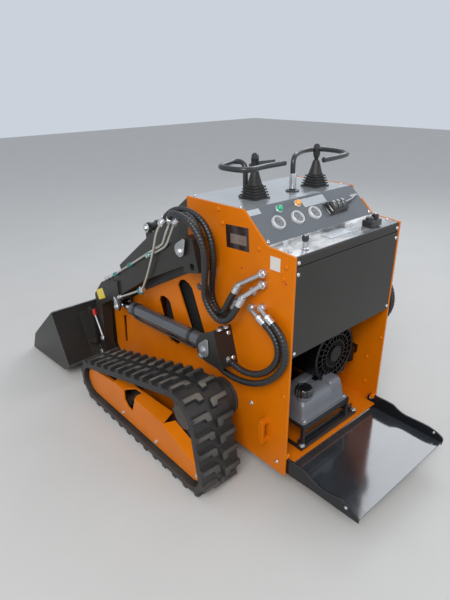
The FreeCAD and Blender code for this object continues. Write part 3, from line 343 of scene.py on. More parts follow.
# Panels that differ from the rest of their slot: a darker engine, its darkness painted shade of the engine
# bay; a warmer hood; a paler and glossier console top, its paleness partly a painted reflection of the sky;
# and a dash with a painted reflection on its level faces
PANEL_LOOKS = {
    # Darker than engine_dark: painted shade of the engine bay
    "fan_black_painted_shade": (("blower_housing", "engine_block", "oil_filter"), dict(
        colour=(0.0035, 0.0035, 0.004), rough=0.3, cloud=0.05, grain=500, bump=0.05,
        edge=(0.02, 0.02, 0.021), edge_highlight_and_wear=0.5, sheen=(0.35, 0.35, 0.38), shine=0.3)),
    "hood_dark": (("hood",), dict(
        colour=(0.036, 0.035, 0.033), rough=0.34, shine=0.4, cloud=0.05, grain=700, bump=0.06,
        edge=(0.2, 0.2, 0.2), edge_highlight_and_wear=0.6, settle=0.04)),
    # Glossy grey whose pale base is partly a painted reflection of the sky
    "top_grey_and_painted_reflection": (("console_top",), dict(
        colour=(0.30, 0.325, 0.34), rough=0.17, coat=0.9, cloud=0.10, grain=500, bump=0.03,
        edge=(0.45, 0.46, 0.47), edge_highlight_and_wear=0.5)),
    # Level faces of the dash, the shelf among them, carry a painted reflection of the sky
    "dash_grey": (("dash_panel",), dict(
        colour=(0.105, 0.115, 0.128), rough=0.24, coat=0.7, cloud=0.05, grain=500, bump=0.03,
        edge=(0.4, 0.41, 0.42), edge_highlight_and_wear=0.5, painted_reflection=0.75)),
}
node_finish = {}
for name, (nodes, look) in PANEL_LOOKS.items():
    node_finish.update(dict.fromkeys(nodes, finish(name, **look)))
for row in frame["record"]["subparts"]:
    node = frame["nodes"][row["node"]]
    node.data.materials.clear()
    node.data.materials.append(node_finish.get(row["node"], slot_finish[row["material_slot"]]))


# Surfaces

TURN = 2 * math.pi
SHARPEST = 0.3      # keeps the corners of a drawn-in outline from running away
MERGE = 2e-6        # metres between points that are taken for one


def circle(steps):
    """Angles evenly spaced round a full turn, from 0."""
    return np.arange(steps) * TURN / steps


def skin(rings, closed=False):
    """Quads between neighbouring rings, rings[row, step]; flat caps at both ends unless the rows close."""
    rows, steps, _ = rings.shape
    at = np.arange(rows * steps).reshape(rows, steps)
    if closed:
        at = np.vstack([at, at[:1]])
    beside = np.roll(at, -1, axis=1)
    faces = np.stack([at[:-1], beside[:-1], beside[1:], at[1:]], -1).reshape(-1, 4).tolist()
    if not closed:
        faces += [at[0][::-1].tolist(), at[-1].tolist()]
    return rings.reshape(-1, 3), faces


def turned(profile, steps=24, closed=False):
    """Profile (radius, height) carried round z: x = r cos a, y = r sin a, z = height."""
    r, h = np.array(profile, float).T
    a = circle(steps)
    rings = np.stack([np.outer(r, np.cos(a)), np.outer(r, np.sin(a)), np.outer(h, np.ones(steps))], -1)
    return skin(rings, closed)


def drawn_in(outline, amount):
    """Closed outline, counterclockwise, each side moved inwards by the amount along its normal."""
    p = np.asarray(outline, float)
    run = np.roll(p, -1, 0) - p
    inward = np.stack([-run[:, 1], run[:, 0]], 1) / np.linalg.norm(run, axis=1)[:, None]
    bisector = inward + np.roll(inward, 1, 0)
    return p + bisector / np.maximum((bisector ** 2).sum(1) / 2, SHARPEST)[:, None] * amount


def flat_plate(outline, low, high, edge):
    """Plate on an outline: four rings, the top and the foot drawn in by the edge."""
    flat = np.asarray(outline, float)
    small = drawn_in(flat, edge)
    rows = [(small, low), (flat, low + edge), (flat, high - edge), (small, high)]
    return skin(np.stack([np.column_stack([ring, np.full(len(ring), z)]) for ring, z in rows]))


def rounded(width, depth, corner, steps=5):
    """Rectangle about zero with quarter-round corners, counterclockwise."""
    a = np.linspace(0, math.pi / 2, steps)
    quarters = []
    for k, (sx, sy) in enumerate(((1, 1), (-1, 1), (-1, -1), (1, -1))):
        centre = np.array((sx * (width / 2 - corner), sy * (depth / 2 - corner)))
        turn = a + k * math.pi / 2
        quarters.append(centre + corner * np.column_stack([np.cos(turn), np.sin(turn)]))
    return np.concatenate(quarters)


def directions(axis, side=None):
    """Rows: two side directions and the axis, all at right angles; the first is nearest to the side given."""
    z = np.asarray(axis, float) / np.linalg.norm(axis)
    if side is None:
        side = FORWARD if abs(z[0]) < 0.9 else LEFT
    near = np.asarray(side, float)
    x = near - z * (near @ z)
    x /= np.linalg.norm(x)
    return np.stack([x, np.cross(z, x), z])


def set_down(part, spot, axis=UP, side=None):
    """A part drawn round its own z, turned so that z lies along the axis, standing on the spot."""
    return part[0] @ directions(axis, side) + np.asarray(spot, float), part[1]


def slab(size, heights, edge, spot, axis=UP, side=None):
    """Plate on a rounded rectangle of width, depth and corner, between two heights over the spot."""
    return set_down(flat_plate(rounded(*size), *heights, edge), spot, axis, side)


def along(path, radius, steps=12, level=LEFT):
    """Round section carried along a path: point + r (cos a side + sin a other), side square to the level."""
    path = np.asarray(path, float)
    heading = np.gradient(path, axis=0)
    side = np.cross(heading, level)
    side /= np.linalg.norm(side, axis=1)[:, None]
    other = np.cross(heading, side)
    other /= np.linalg.norm(other, axis=1)[:, None]
    a = circle(steps)[:, None]
    r = np.broadcast_to(radius, (len(path), steps))[..., None]
    return skin(path[:, None] + r * (np.cos(a) * side[:, None] + np.sin(a) * other[:, None]))


def smooth_line(route, cuts):
    """Points, in mm, read from a NURBS spline whose control points are the route's."""
    data = bpy.data.curves.new("route", "CURVE")
    data.dimensions = "3D"
    spline = data.splines.new("NURBS")
    spline.points.add(len(route) - 1)
    spline.points.foreach_set("co", np.column_stack([route, np.ones(len(route))]).ravel())
    spline.order_u = 3
    spline.use_endpoint_u = True
    spline.resolution_u = data.resolution_u = cuts
    holder = bpy.data.objects.new("route", data)
    line = bpy.data.meshes.new_from_object(holder)
    points = np.empty(len(line.vertices) * 3)
    line.vertices.foreach_get("co", points)
    bpy.data.meshes.remove(line)
    bpy.data.objects.remove(holder)
    bpy.data.curves.remove(data)
    return points.reshape(-1, 3)


def piece(name, look, body, parts, sharp=35):
    """One object out of closed parts, doubles merged, faces turned out; body None leaves it unattached."""
    first = np.cumsum([0] + [len(points) for points, _ in parts])
    faces = [[i + start for i in face] for start, (_, rows) in zip(first, parts) for face in rows]
    mesh = bpy.data.meshes.new(name)
    mesh.from_pydata(metres(np.concatenate([points for points, _ in parts])).tolist(), [], faces)
    work = bmesh.new()
    work.from_mesh(mesh)
    bmesh.ops.remove_doubles(work, verts=work.verts, dist=MERGE)
    bmesh.ops.recalc_face_normals(work, faces=work.faces)
    work.to_mesh(mesh)
    work.free()
    mesh.shade_smooth()
    mesh.set_sharp_from_angle(angle=math.radians(sharp))
    slot, mat = trim_finish[look]
    mesh.materials.append(mat)
    thing = bpy.data.objects.new(name, mesh)
    scene.collection.objects.link(thing)
    if body:
        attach(thing, body)
    return thing


def flipped(part):
    """The same part on the other side of the machine: y turned to -y."""
    return part[0] * (1, -1, 1), part[1]


def both(parts):
    """Parts of the left side, and after them the same ones flipped to the right."""
    return parts + [flipped(part) for part in parts]


# Hydraulic hoses, left side, in mm: the same routes as in the part's source

HOSE_ROUTES = {
    "arm_hose_inner": [(256, 381, 1009), (230, 378, 1034), (180, 372, 1018), (146, 368, 972),
                       (134, 366, 912), (137, 363, 850), (149, 356, 788), (149, 348, 730), (119, 344, 688),
                       (79, 342, 678), (49, 344, 708), (27, 343, 752), (4, 338, 791)],
    "arm_hose_outer": [(298, 388, 1004), (276, 402, 1029), (221, 409, 1037), (155, 405, 1021),
                       (112, 396, 972), (98, 390, 915), (104, 385, 852), (122, 378, 792), (132, 372, 736),
                       (105, 368, 690), (62, 366, 666), (20, 362, 678), (-11, 359, 713.5), (-29, 351, 754)],
    "arm_hose_third": [(344, 381, 992), (322, 370, 1022), (272, 356, 1038), (214, 348, 1034),
                       (156, 345, 1008), (124, 342, 962), (114, 340, 908), (124, 332, 850), (146, 322, 788),
                       (160, 316, 728), (140, 315, 678), (100, 315, 657), (65, 315, 677), (46, 315, 712)],
    "port_hose_inner": [(-127, 326, 712), (-165, 323, 690), (-193, 321, 645), (-192, 322, 592),
                        (-160, 326, 540), (-108, 334, 500), (-50, 341, 488), (-4, 342, 493), (28, 342, 501)],
    "port_hose_outer": [(-165, 326, 726), (-204, 323, 700), (-228, 322, 640), (-222, 324, 580),
                        (-182, 330, 516), (-118, 338, 468), (-46, 342, 444), (24, 344, 438), (74, 345, 444),
                        (95.5, 345, 459), (96, 345, 473.4)],
}
LEFT_ONLY = "arm_hose_third"
HOSES = [(name, side, tag) for name in HOSE_ROUTES for side, tag in SIDES if side > 0 or name != LEFT_ONLY]
HOSE_CUTS, GUARD_STEPS = 28, 14
GUARD_PITCH, GUARD_RADIUS, GUARD_DIP, GUARD_WIDTH = 13.0, 12.1, 1.9, 0.75
BARE_RADIUS, BARE_END = 11.2, 9


def length_along(path):
    """Distance from the path's start to each of its points: the running sum of the steps between them."""
    return np.concatenate([[0], np.cumsum(np.linalg.norm(np.diff(path, axis=0), axis=1))])


def guarded_hose(path):
    """Hose in a spiral guard: r = radius - depth x dip, a narrow groove where turns of the helix meet."""
    run = length_along(path)
    phase = (TURN * run[:, None] / GUARD_PITCH + circle(GUARD_STEPS)[None, :]) % TURN
    dip = np.exp(-((phase - math.pi) / GUARD_WIDTH) ** 2)
    bare = np.minimum(run, run[-1] - run)[:, None] < BARE_END
    return along(path, np.where(bare, BARE_RADIUS, GUARD_RADIUS - GUARD_DIP * dip), GUARD_STEPS)


for hose_name, side, tag in HOSES:
    route = np.array(HOSE_ROUTES[hose_name], float) * (1, side, 1)
    line = smooth_line(route, HOSE_CUTS)
    name = "%s_%s" % (hose_name, tag)
    moves = hose_name.startswith("arm")
    body = None if moves else "chassis"
    hose = piece("guarded_" + name, "hose_guard", body, [guarded_hose(line)], sharp=80)
    if name in frame["nodes"]:
        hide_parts(name)
    if moves:
        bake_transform(hose)


# Fasteners

def hex_bolt(size):
    """Washer, then a six-sided head with its top corners drawn in, both turned; size is the thread, mm."""
    washer = [(1.2, 0), (1.25, 0.05), (1.2, 0.18)]
    head = [(0.95, 0.16), (0.95, 0.62), (0.78, 0.78)]
    return [turned([(r * size, h * size) for r, h in rows], steps)
            for rows, steps in ((washer, 18), (head, 6))]


def dome_bolt(size):
    """Round head, r falling as height rises, with a socket sunk in its top."""
    head = [(0.9, 0), (0.92, 0.12), (0.82, 0.34), (0.6, 0.5), (0.36, 0.54), (0.3, 0.5), (0.28, 0.25)]
    return [turned([(r * size, h * size) for r, h in head], 18)]


def stand(name, look, body, rows):
    """Fasteners on one body: rows of head, size, spot, axis."""
    parts = []
    for head, size, spot, axis in rows:
        parts += [set_down(part, spot, axis) for part in head(size)]
    return piece(name, look, body, parts)


DASH_UP = np.array((-0.672, 0, 0.741))
DASH_ALONG = np.array((0.741, 0, 0.672))
DASH_EDGE, DASH_RISE, DASH_RUN = 0.6, 97.6, 107.6
INNER_FACE, COVER_FACE, REAR_FACE = 292, 545, -228      # side plate, track cover, rear sheets


def on_dash(x, y, lift=0.3):
    """Point on the sloping dash, lifted square to it."""
    return np.array((x, y, TOP_FACE + (x - DASH_EDGE) * DASH_RISE / DASH_RUN)) + DASH_UP * lift


plate_bolts = [(-74, 956), (-196, 924), (-186, 882), (-208, 445), (105, 1008), (127, 1053)]
inner_bolts = [(-162, 347), (-166, 224), (-41, 210), (-216, 463)]
cover_bolts = [(538, 81), (271, 80), (-8, 94)]
stand("side_plate_bolts", "orange_trim", "chassis",
      [(dome_bolt, 9, (x, s * PLATE, z), (0, s, 0)) for x, z in plate_bolts for s in (1, -1)]
      + [(dome_bolt, 9, (x, -INNER_FACE, z), LEFT) for x, z in inner_bolts]
      + [(dome_bolt, 9, (x, INNER_FACE, z), RIGHT) for x, z in inner_bolts[::3]])
stand("console_bolts", "zinc", "chassis",
      [(dome_bolt, 8, on_dash(-98, y), DASH_UP) for y in (284, -284)]
      + [(dome_bolt, 8, (REAR_FACE, y, z), BACK) for y in (281, -281) for z in (943, 904, 619)]
      + [(dome_bolt, 7, (x, y, TOP_FACE), UP) for x in (40, 290) for y in (276, -276)]
      + [(dome_bolt, 7, (-185, y, SHELF + 1), UP) for y in (276, -276)])
stand("frame_bolts", "zinc", "chassis",
      [(hex_bolt, 8, (x, s * COVER_FACE, z), (0, s, 0)) for x, z in cover_bolts for s in (1, -1)])
stand("plate_zinc", "zinc", "chassis",
      [(dome_bolt, r, (x, s * PLATE, z), (0, s, 0))
       for r, x, z in ((11, -47, 331), (9, -187, 136), (7, 114, 330)) for s in (1, -1)])

# Dash: gauges, lamps, labels, valve block, pull knob, key switch

GAUGE_SPOTS = [(-57, 194), (-57, 96), (-57, 4)]
LAMP_SPOTS = [("lamp_green", -20, 152), ("lamp_amber", -17, 53)]
rim = [(19, 3), (19.5, 7), (21, 10), (24.5, 10), (26.5, 7.5), (27.5, 0.2), (19, 0.2)]
lamp_rim = [(10.5, 2), (11, 4), (13, 4.5), (14.5, 2.5), (14.5, 0.2), (10.5, 0.2)]
rims = [set_down(turned(rim, 48, True), on_dash(x, y, 0), DASH_UP) for x, y in GAUGE_SPOTS]
rims += [set_down(turned(lamp_rim, 24, True), on_dash(x, y, 0), DASH_UP) for _, x, y in LAMP_SPOTS]
gauge_rims = piece("gauge_rims", "bezel", "chassis", rims)
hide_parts("dash_gauges")
dial = turned([(19.4, 0.3), (19.4, 5), (17, 5.2), (16.5, 6.4), (12, 6.6), (11.4, 7.6), (2, 7.8)], 40)
piece("gauge_dials", "dial", "chassis", [set_down(dial, on_dash(x, y, 0), DASH_UP) for x, y in GAUGE_SPOTS])
TICKS, TICK_START, TICK_STEP, TICK_RADIUS = 11, -2.2, 0.44, 14.2
READINGS = (0.9, -0.4, 1.7)


def dial_way(turn):
    """Direction in the dash's plane: cos turn up the slope and sin turn to the left."""
    return DASH_ALONG * math.cos(turn) + np.array((0, math.sin(turn), 0))


long_tick, short_tick = (flat_plate(rounded(reach, 1.2, 0.3, 2), 0, 0.8, 0.2) for reach in (6.5, 4.5))
needle = flat_plate([(-6, -1.6), (15, -0.5), (15, 0.5), (-6, 1.6)], 0, 0.8, 0.2)
hub = turned([(3, 0), (3, 1.2), (2, 1.8)], 14)
marks = []
for (x, y), reading in zip(GAUGE_SPOTS, READINGS):
    for k in range(TICKS):
        out = dial_way(TICK_START + TICK_STEP * k)
        tick = short_tick if k % 5 else long_tick
        marks.append(set_down(tick, on_dash(x, y, 6.3) + out * TICK_RADIUS, DASH_UP, out))
    out = dial_way(reading)
    marks.append(set_down(needle, on_dash(x, y, 7.9) + out * 2, DASH_UP, out))
    marks.append(set_down(hub, on_dash(x, y, 7.3), DASH_UP))
piece("gauge_marks", "dial_mark", "chassis", marks)
lens = turned([(11.4, 1), (12, 6), (11.4, 10), (9.2, 13.6), (5.4, 16), (1.4, 16.8)], 28)
for look, x, y in LAMP_SPOTS:
    piece(look + "_lens", look, "chassis", [set_down(lens, on_dash(x, y, 0), DASH_UP)])


def label(width, depth, corner, spot, axis, side=FORWARD):
    """Thin blank plate, raised a hair off the sheet that carries it."""
    return slab((width, depth, corner), (0.05, 0.9), 0.25, spot, axis, side)


piece("blank_labels", "label_white", "chassis", [
    label(23, 58, 2, on_dash(-12, 266), DASH_UP, DASH_ALONG),
    label(36, 128, 5, on_dash(-20, -34), DASH_UP, DASH_ALONG),
    label(30, 122, 5, (16.5, -36, TOP_FACE + 0.3), UP),
    label(46, 118, 3, (-165, 12, SHELF + 2.3), (-0.077, 0, 0.997)),
    label(10, 44, 2, on_dash(-34, -262), DASH_UP, DASH_ALONG),
    label(30, 12, 1.5, (226, PLATE, 741), LEFT),
])
PLATE_TILT = (1, 0, -0.06)
piece("blank_plate_left", "label_black", "chassis", [label(114, 82, 2, (31, PLATE, 970), LEFT, PLATE_TILT)])
piece("blank_plate_field", "label_bronze", "chassis",
      [label(80, 34, 1, (25, PLATE + 0.45, 965), LEFT, PLATE_TILT)])
piece("blank_label_side", "label_paper", "chassis", [label(44, 46, 2, (-148, PLATE, 923), LEFT)])
dot = turned([(4, 0), (3.6, 1.2), (2, 1.8)], 14)
piece("side_dots", "red_grip", "chassis", [set_down(dot, (x, PLATE, 868), LEFT) for x in (-196, 8)])

# Three rounded paddles in a row on the valve block, each 19 mm thick
half = np.linspace(0, math.pi, 11)
paddle_line = np.vstack([np.column_stack([19 * np.cos(half), 15 * np.sin(half)]), [(-19, -4), (19, -4)]])
paddle = flat_plate(paddle_line, 0, 19, 2.5)
piece("valve_lobes", "plastic_grey", "chassis",
      [set_down(paddle, on_dash(-55, y, 19), RIGHT, DASH_ALONG) for y in (-80, -106, -132)])
valve_base = slab((46, 100, 4), (0.3, 20), 2.5, on_dash(-57, -118, 0), DASH_UP, DASH_ALONG)
base_lip = slab((54, 108, 5), (0.2, 5), 1.2, on_dash(-57, -118, 0), DASH_UP, DASH_ALONG)
spindle_spots = [(-57, -160, 19), (-54, -190, 17), (-50, -218, 16), (-44, -246, 15)]
spindle_line = [on_dash(*spot) for spot in spindle_spots]
spindle = along(spindle_line, [[7], [5.5], [4], [6]], 14, FORWARD)
valve = piece("valve_body", "gloss_black", "chassis", [valve_base, base_lip, spindle])
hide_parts("dash_controls")
KNOB_SPOT, BUTTON_SPOT, KEY_SPOT = (-196, 216, SHELF), (-192, -180, SHELF), (-192, -146, SHELF)
piece("pull_knob", "gloss_black", "chassis",
      [set_down(turned([(6, 24), (10.5, 27), (11.5, 33), (11.5, 41), (9, 46), (3, 47.5)], 24), KNOB_SPOT),
       slab((46, 66, 7), (0.4, 26), 4, (-192, -162, SHELF)),
       set_down(turned([(13, 25), (13, 39), (10, 42), (3, 42.6)], 20), BUTTON_SPOT),
       set_down(turned([(15, 25), (15, 33), (12, 36), (3, 36.6)], 20), KEY_SPOT)])
piece("knob_chrome", "zinc", "chassis",
      [set_down(turned([(13, 0.3), (13, 3), (8, 4), (7, 24), (6, 24.5)], 24), KNOB_SPOT),
       set_down(turned([(7, 42), (7.5, 45), (6, 46.5), (2, 46.8)], 20), BUTTON_SPOT),
       slab((4, 16, 1.5), (36, 43), 0.6, KEY_SPOT)])
piece("switch_red", "red_grip", "chassis", [slab((12, 16, 3), (26, 34), 1.5, (-182, -163, SHELF))])

# Foot discs of the hand hoops, and the shiny sleeve of the right one
foot_disc = turned([(26, 0.3), (26, 3), (24, 4.5), (13, 5), (12.6, 9)], 32)
piece("hoop_feet", "black_trim", "chassis",
      [set_down(foot_disc, spot) for spot in ((150, 150, 1071), (90, -40, 1071))])
piece("hoop_sleeve", "zinc", "chassis",
      [set_down(turned([(12.6, 10), (13.2, 12), (13.2, 64), (12.6, 66)], 24), (90.2, -40, 1071))])

# Dark sheets behind the side plate's slots, painted shade so that they read as openings into the closed
# chassis
piece("slot_painted_shade", "slot_shade_and_joint_dark", "chassis",
      [slab((420, 400, 20), (0, 1.5), 0.5, (330, s * 268, 640), (0, s, 0), FORWARD) for s in (1, -1)])

# Ribbed ferrules over the hose ends, and six-sided nuts where their elbows meet the side plates

def ferrule(start, after, length):
    """Sleeve on the hose's end, turned from four bands with grooves between, and a six-sided nut past it."""
    axis = np.array(start, float) - np.array(after, float)
    axis /= np.linalg.norm(axis)
    bands = [(11.5, -3), (13.6, -2)]
    for k in range(4):
        at = length * 0.62 * k / 4
        bands += [(13.8, at + 1), (13.8, at + length * 0.11), (12.9, at + length * 0.12),
                  (12.9, at + length * 0.15)]
    bands += [(13.2, length * 0.66), (10.5, length * 0.7)]
    nut = turned([(11.5, length * 0.7), (13.6, length * 0.72), (13.6, length * 0.96), (11.5, length)], 6)
    return [set_down(turned(bands, 20), start, axis), set_down(nut, start, axis)]


def on_side(parts, side):
    """Parts as they are for the left side, flipped for the right."""
    return parts if side > 0 else [flipped(part) for part in parts]


ARM_FERRULE, PLATE_FERRULE, PORT_FERRULE = 33, 36, 30     # lengths
THIRD_PORT = (-62, 806)
PORTS = [(-103, 880), (-104, 841), THIRD_PORT, (-53, 739), (-103, 756)]
port_nut = turned([(13, 6), (15.5, 7), (15.5, 15), (13.5, 17)], 6)
for side, tag in SIDES:
    arm_ends, plate_ends = [], []
    for hose_name, route in HOSE_ROUTES.items():
        if side < 0 and hose_name == LEFT_ONLY:
            continue
        if hose_name.startswith("arm"):
            arm_ends += ferrule(route[0], route[1], ARM_FERRULE)
            plate_ends += ferrule(route[-1], route[-2], PLATE_FERRULE)
        else:
            plate_ends += ferrule(route[0], route[1], PORT_FERRULE)
    plate_ends += [set_down(port_nut, (x, PLATE, z), LEFT)
                   for x, z in PORTS if side > 0 or (x, z) != THIRD_PORT]
    piece("arm_ferrules_" + tag, "zinc", "arms", on_side(arm_ends, side))
    piece("plate_ferrules_" + tag, "zinc", "chassis", on_side(plate_ends, side))


# Hand hoops; beside the left one's post a second bar runs in towards the middle

HOOP_LEFT = [(150, 150, 1071.2), (150, 150, 1110), (150, 150, 1150), (153, 149, 1172), (163, 146, 1186),
             (180, 145, 1190), (196, 150, 1190), (199, 165, 1190), (190, 192, 1190), (172, 232, 1190),
             (156, 262, 1190), (140, 274, 1190), (113, 277, 1190), (68, 273, 1190), (42, 262, 1190),
             (30, 243, 1190), (31, 220, 1190), (43, 170, 1190), (46, 110, 1190), (47, 56, 1190)]
HOOP_RIGHT = [(92, -40, 1071.2), (92, -40, 1110), (92, -40, 1150), (93, -41, 1175), (98, -50, 1192),
              (108, -72, 1200), (128, -110, 1201), (146, -150, 1201), (154, -185, 1201), (155, -225, 1201),
              (145, -250, 1201), (120, -261, 1201), (80, -262, 1201), (42, -257, 1201), (15, -246, 1201),
              (-12, -226, 1201), (-30, -200, 1201), (-42, -160, 1201), (-50, -90, 1201), (-54, -34, 1201)]


def hoop(route):
    """Tube along the route; two smaller rings past its last point make the free end round."""
    path = smooth_line(route, 8)
    last = path[-1] - path[-2]
    end = path[-1] + last / np.linalg.norm(last) * np.array([[2.5], [3.5]])
    radii = np.r_[np.full(len(path), 9.5), 7.5, 3][:, None]
    return along(np.vstack([path, end]), radii, 20, (0.3, 0.2, 0.93))


far_bar = along([(126, 152, 1180), (112, 142, 1188), (104, 105, 1190), (96, 59, 1190)], 9, 16, UP)
left_hoop = piece("left_hand_hoop", "handle_tube", "chassis", [hoop(HOOP_LEFT), far_bar])
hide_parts("handle_left")
right_hoop = piece("right_hand_hoop", "handle_tube", "chassis", [hoop(HOOP_RIGHT)])
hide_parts("handle_right")

# Worn faces of the lugs, along the same loop as the belt: three arcs and the straight runs that touch them

LUG_LOOP = [((22, 100), 83), ((797, 120), 103), ((105, 290), 133)]
LUG_COUNT, LUG_HEIGHT, TRACK_MID, TRACK_HALF = 33, 17, 475, 90
ARC_POINTS, LUG_GAP, GROUND = 90, 2, 0.05
HOOK = np.array([(-14, 0), (12, 0), (12, 50), (30, 58), (30, 82), (-6, 82), (-14, 70)], float)
FACE_SHARE, FACE_INSET = (0.82, 0.96), 2.2      # of the hook's outline
FACE_RINGS = ((0, -0.6), (0, 0.1), (0.8, 0.45))     # drawn in by, lifted by


def loop_points():
    """Outline of three circles drawn taut, from the foot of the rear one forwards, 90 points to an arc."""
    normals = []
    for (first, r0), (second, r1) in zip(LUG_LOOP, LUG_LOOP[1:] + LUG_LOOP[:1]):
        way = np.subtract(second, first)
        lean = math.asin((r0 - r1) / np.linalg.norm(way))
        normals.append(math.atan2(way[1], way[0]) - math.pi / 2 + lean)
    rows = []
    for k, (centre, r) in enumerate(LUG_LOOP):
        start, end = normals[k - 1], normals[k]
        end += TURN * math.ceil((start - end) / TURN)
        turn = np.linspace(start, end, ARC_POINTS)[:, None]
        rows.append(centre + r * np.hstack([np.cos(turn), np.sin(turn)]))
    line = np.vstack(rows)
    return np.vstack([line[ARC_POINTS - 1:], line[:ARC_POINTS]])


def lug_faces(side):
    """A thin face on each lug: the hook's outline drawn in, in three rings, just proud of the rubber."""
    line = loop_points()
    run = length_along(line)
    at = np.linspace(0, run[-1], LUG_COUNT * 4 + 1)[:-1]
    spots = np.column_stack([np.interp(at, run, line[:, 0]), np.interp(at, run, line[:, 1])])
    way = np.roll(spots, -1, 0) - np.roll(spots, 1, 0)
    way /= np.linalg.norm(way, axis=1)[:, None]
    out = np.column_stack([way[:, 1], -way[:, 0]])
    face = drawn_in(HOOK * FACE_SHARE, FACE_INSET)
    rings = np.stack([np.column_stack([drawn_in(face, inset), np.full(len(face), lift)])
                      for inset, lift in FACE_RINGS])
    parts = []
    for row, edge, sign in ((0, -TRACK_HALF, 1), (2, TRACK_HALF, -1)):
        across = side * (TRACK_MID + edge + sign * (LUG_GAP + rings[..., 1]))
        for here, onward, outward in zip(spots[row::4], way[row::4], out[row::4]):
            flat = here + rings[..., :1] * onward + (LUG_HEIGHT + rings[..., 2:]) * outward
            parts.append(skin(np.stack([flat[..., 0], across, np.maximum(flat[..., 1], GROUND)], -1)))
    return parts


for side, tag in SIDES:
    piece("lug_faces_" + tag, "lug_face", "chassis", lug_faces(side))


# Keepers, bolts and clamps on the arms and cylinders

def teardrop(big, big_r, small, small_r, steps=14):
    """Outline round two circles: a wide arc of one, a narrow arc of the other and the straight sides."""
    way = np.subtract(small, big)
    lean = math.acos((big_r - small_r) / np.linalg.norm(way))
    middle = math.atan2(way[1], way[0])
    narrow = middle + np.linspace(-lean, lean, steps)
    wide = middle + np.linspace(lean, TURN - lean, steps)
    return np.vstack([np.array(centre) + r * np.column_stack([np.cos(a), np.sin(a)])
                      for centre, r, a in ((small, small_r, narrow), (big, big_r, wide))])


def upright(outline, y0, y1, edge=1.0):
    """Plate on an outline of (x, z), standing square to y from y0 to y1."""
    points, faces = flat_plate(outline, y0, y1, edge)
    return points[:, [0, 2, 1]], faces


def bolts_at(size, rows):
    """Hexagon bolts: rows of spot and axis."""
    return [set_down(part, spot, axis) for spot, axis in rows for part in hex_bolt(size)]


BASE_KEEPER = teardrop((128, 524), 30, (108, 568), 9)
PIVOT_KEEPER = teardrop((258, 891), 27, (230, 930), 9)
ROD_KEEPER = teardrop((800, 473), 17, (814, 513), 8)
keepers = both([upright(BASE_KEEPER, 386.2, 391), upright(PIVOT_KEEPER, 380.3, 386)])
pin_plates = piece("pin_plates", "keeper_steel", "chassis", keepers)
piece("keeper_bolts", "zinc", "chassis",
      both(bolts_at(12, [((124, 391, 528), LEFT), ((252, 386, 888), LEFT)])))
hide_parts("pin_keepers")
rod_plates = both([upright(ROD_KEEPER, 381.4, 386)] + bolts_at(11, [((800, 386, 474), LEFT)]))
tilt_cap = turned([(23, 0.2), (24, 1), (24, 5), (22, 6.5)], 32)
tilt_ends = both([set_down(tilt_cap, (944, 92, 776), LEFT)] + bolts_at(12, [((944, 98.5, 776), LEFT)]))
piece("arm_pin_plates", "zinc", "arms", rod_plates + tilt_ends)
piece("tilt_pin_ends", "zinc", "attachment",
      both([set_down(turned([(15, -3), (15, 2), (13, 4)], 24), (1028, 386, 128), LEFT)]))

CLEVIS_UP, CLEVIS_BACK = (0.22, 0, 0.97), (-0.965, 0, 0.26)
piece("clevis_bolts", "zinc", "chassis", both(bolts_at(10, [
    ((62, 330, 624.2), CLEVIS_UP), ((62, 362, 624.2), CLEVIS_UP), ((40, 318, 502), CLEVIS_BACK),
    ((66, 318, 598), CLEVIS_BACK), ((148, 385.6, 489), LEFT)])))

# Hard lines along the arms, from the ferrules forwards

def knee(route):
    """Far end of the ferrule on the hose's first point: the point moved on from the second by its length."""
    start, after = np.array(route[0], float), np.array(route[1], float)
    return tuple(start + (start - after) / np.linalg.norm(start - after) * ARM_FERRULE)


def steel_pipe(route, cuts=6):
    """Pipe of 10 mm along the smooth line through the route."""
    return along(smooth_line(route, cuts), 5)


LINE_A = [knee(HOSE_ROUTES["arm_hose_third"]), (385, 392, 940), (404, 392, 898), (430, 388, 842),
          (480, 386, 745), (522, 385, 676), (540, 384, 652)]
LINE_B = [knee(HOSE_ROUTES["arm_hose_outer"]), (330, 384, 952), (356, 381, 910), (368, 380, 890),
          (388, 379, 876), (425, 379, 854), (489, 379, 818), (600, 379, 752), (700, 379, 694),
          (783, 379, 645), (828, 379, 622)]
LINE_C = [knee(HOSE_ROUTES["arm_hose_inner"]), (300, 384, 952), (327, 381, 914), (338, 380, 898),
          (354, 379, 881), (385, 379, 862), (429, 379, 838), (466, 379, 820)]
LINE_D = [(548, 381, 640), (580, 380, 626), (650, 380, 590), (720, 380, 556), (752, 380, 541)]
arm_lines = piece("arm_hard_lines", "line_zinc", "arms",
                  both([steel_pipe(LINE_B), steel_pipe(LINE_C)]) + [steel_pipe(LINE_A), steel_pipe(LINE_D)])
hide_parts("arm_tubes")


def coupling(start, end):
    """Two six-sided nuts with a waist between them, one profile turned round the way from start to end."""
    axis = np.subtract(end, start)
    size = np.linalg.norm(axis)
    profile = [(6.5, 0), (10, 0.5), (10, size * 0.35), (8, size * 0.38), (8, size * 0.62),
               (10.5, size * 0.65), (10.5, size - 1), (8, size)]
    return set_down(turned(profile, 6), start, axis)


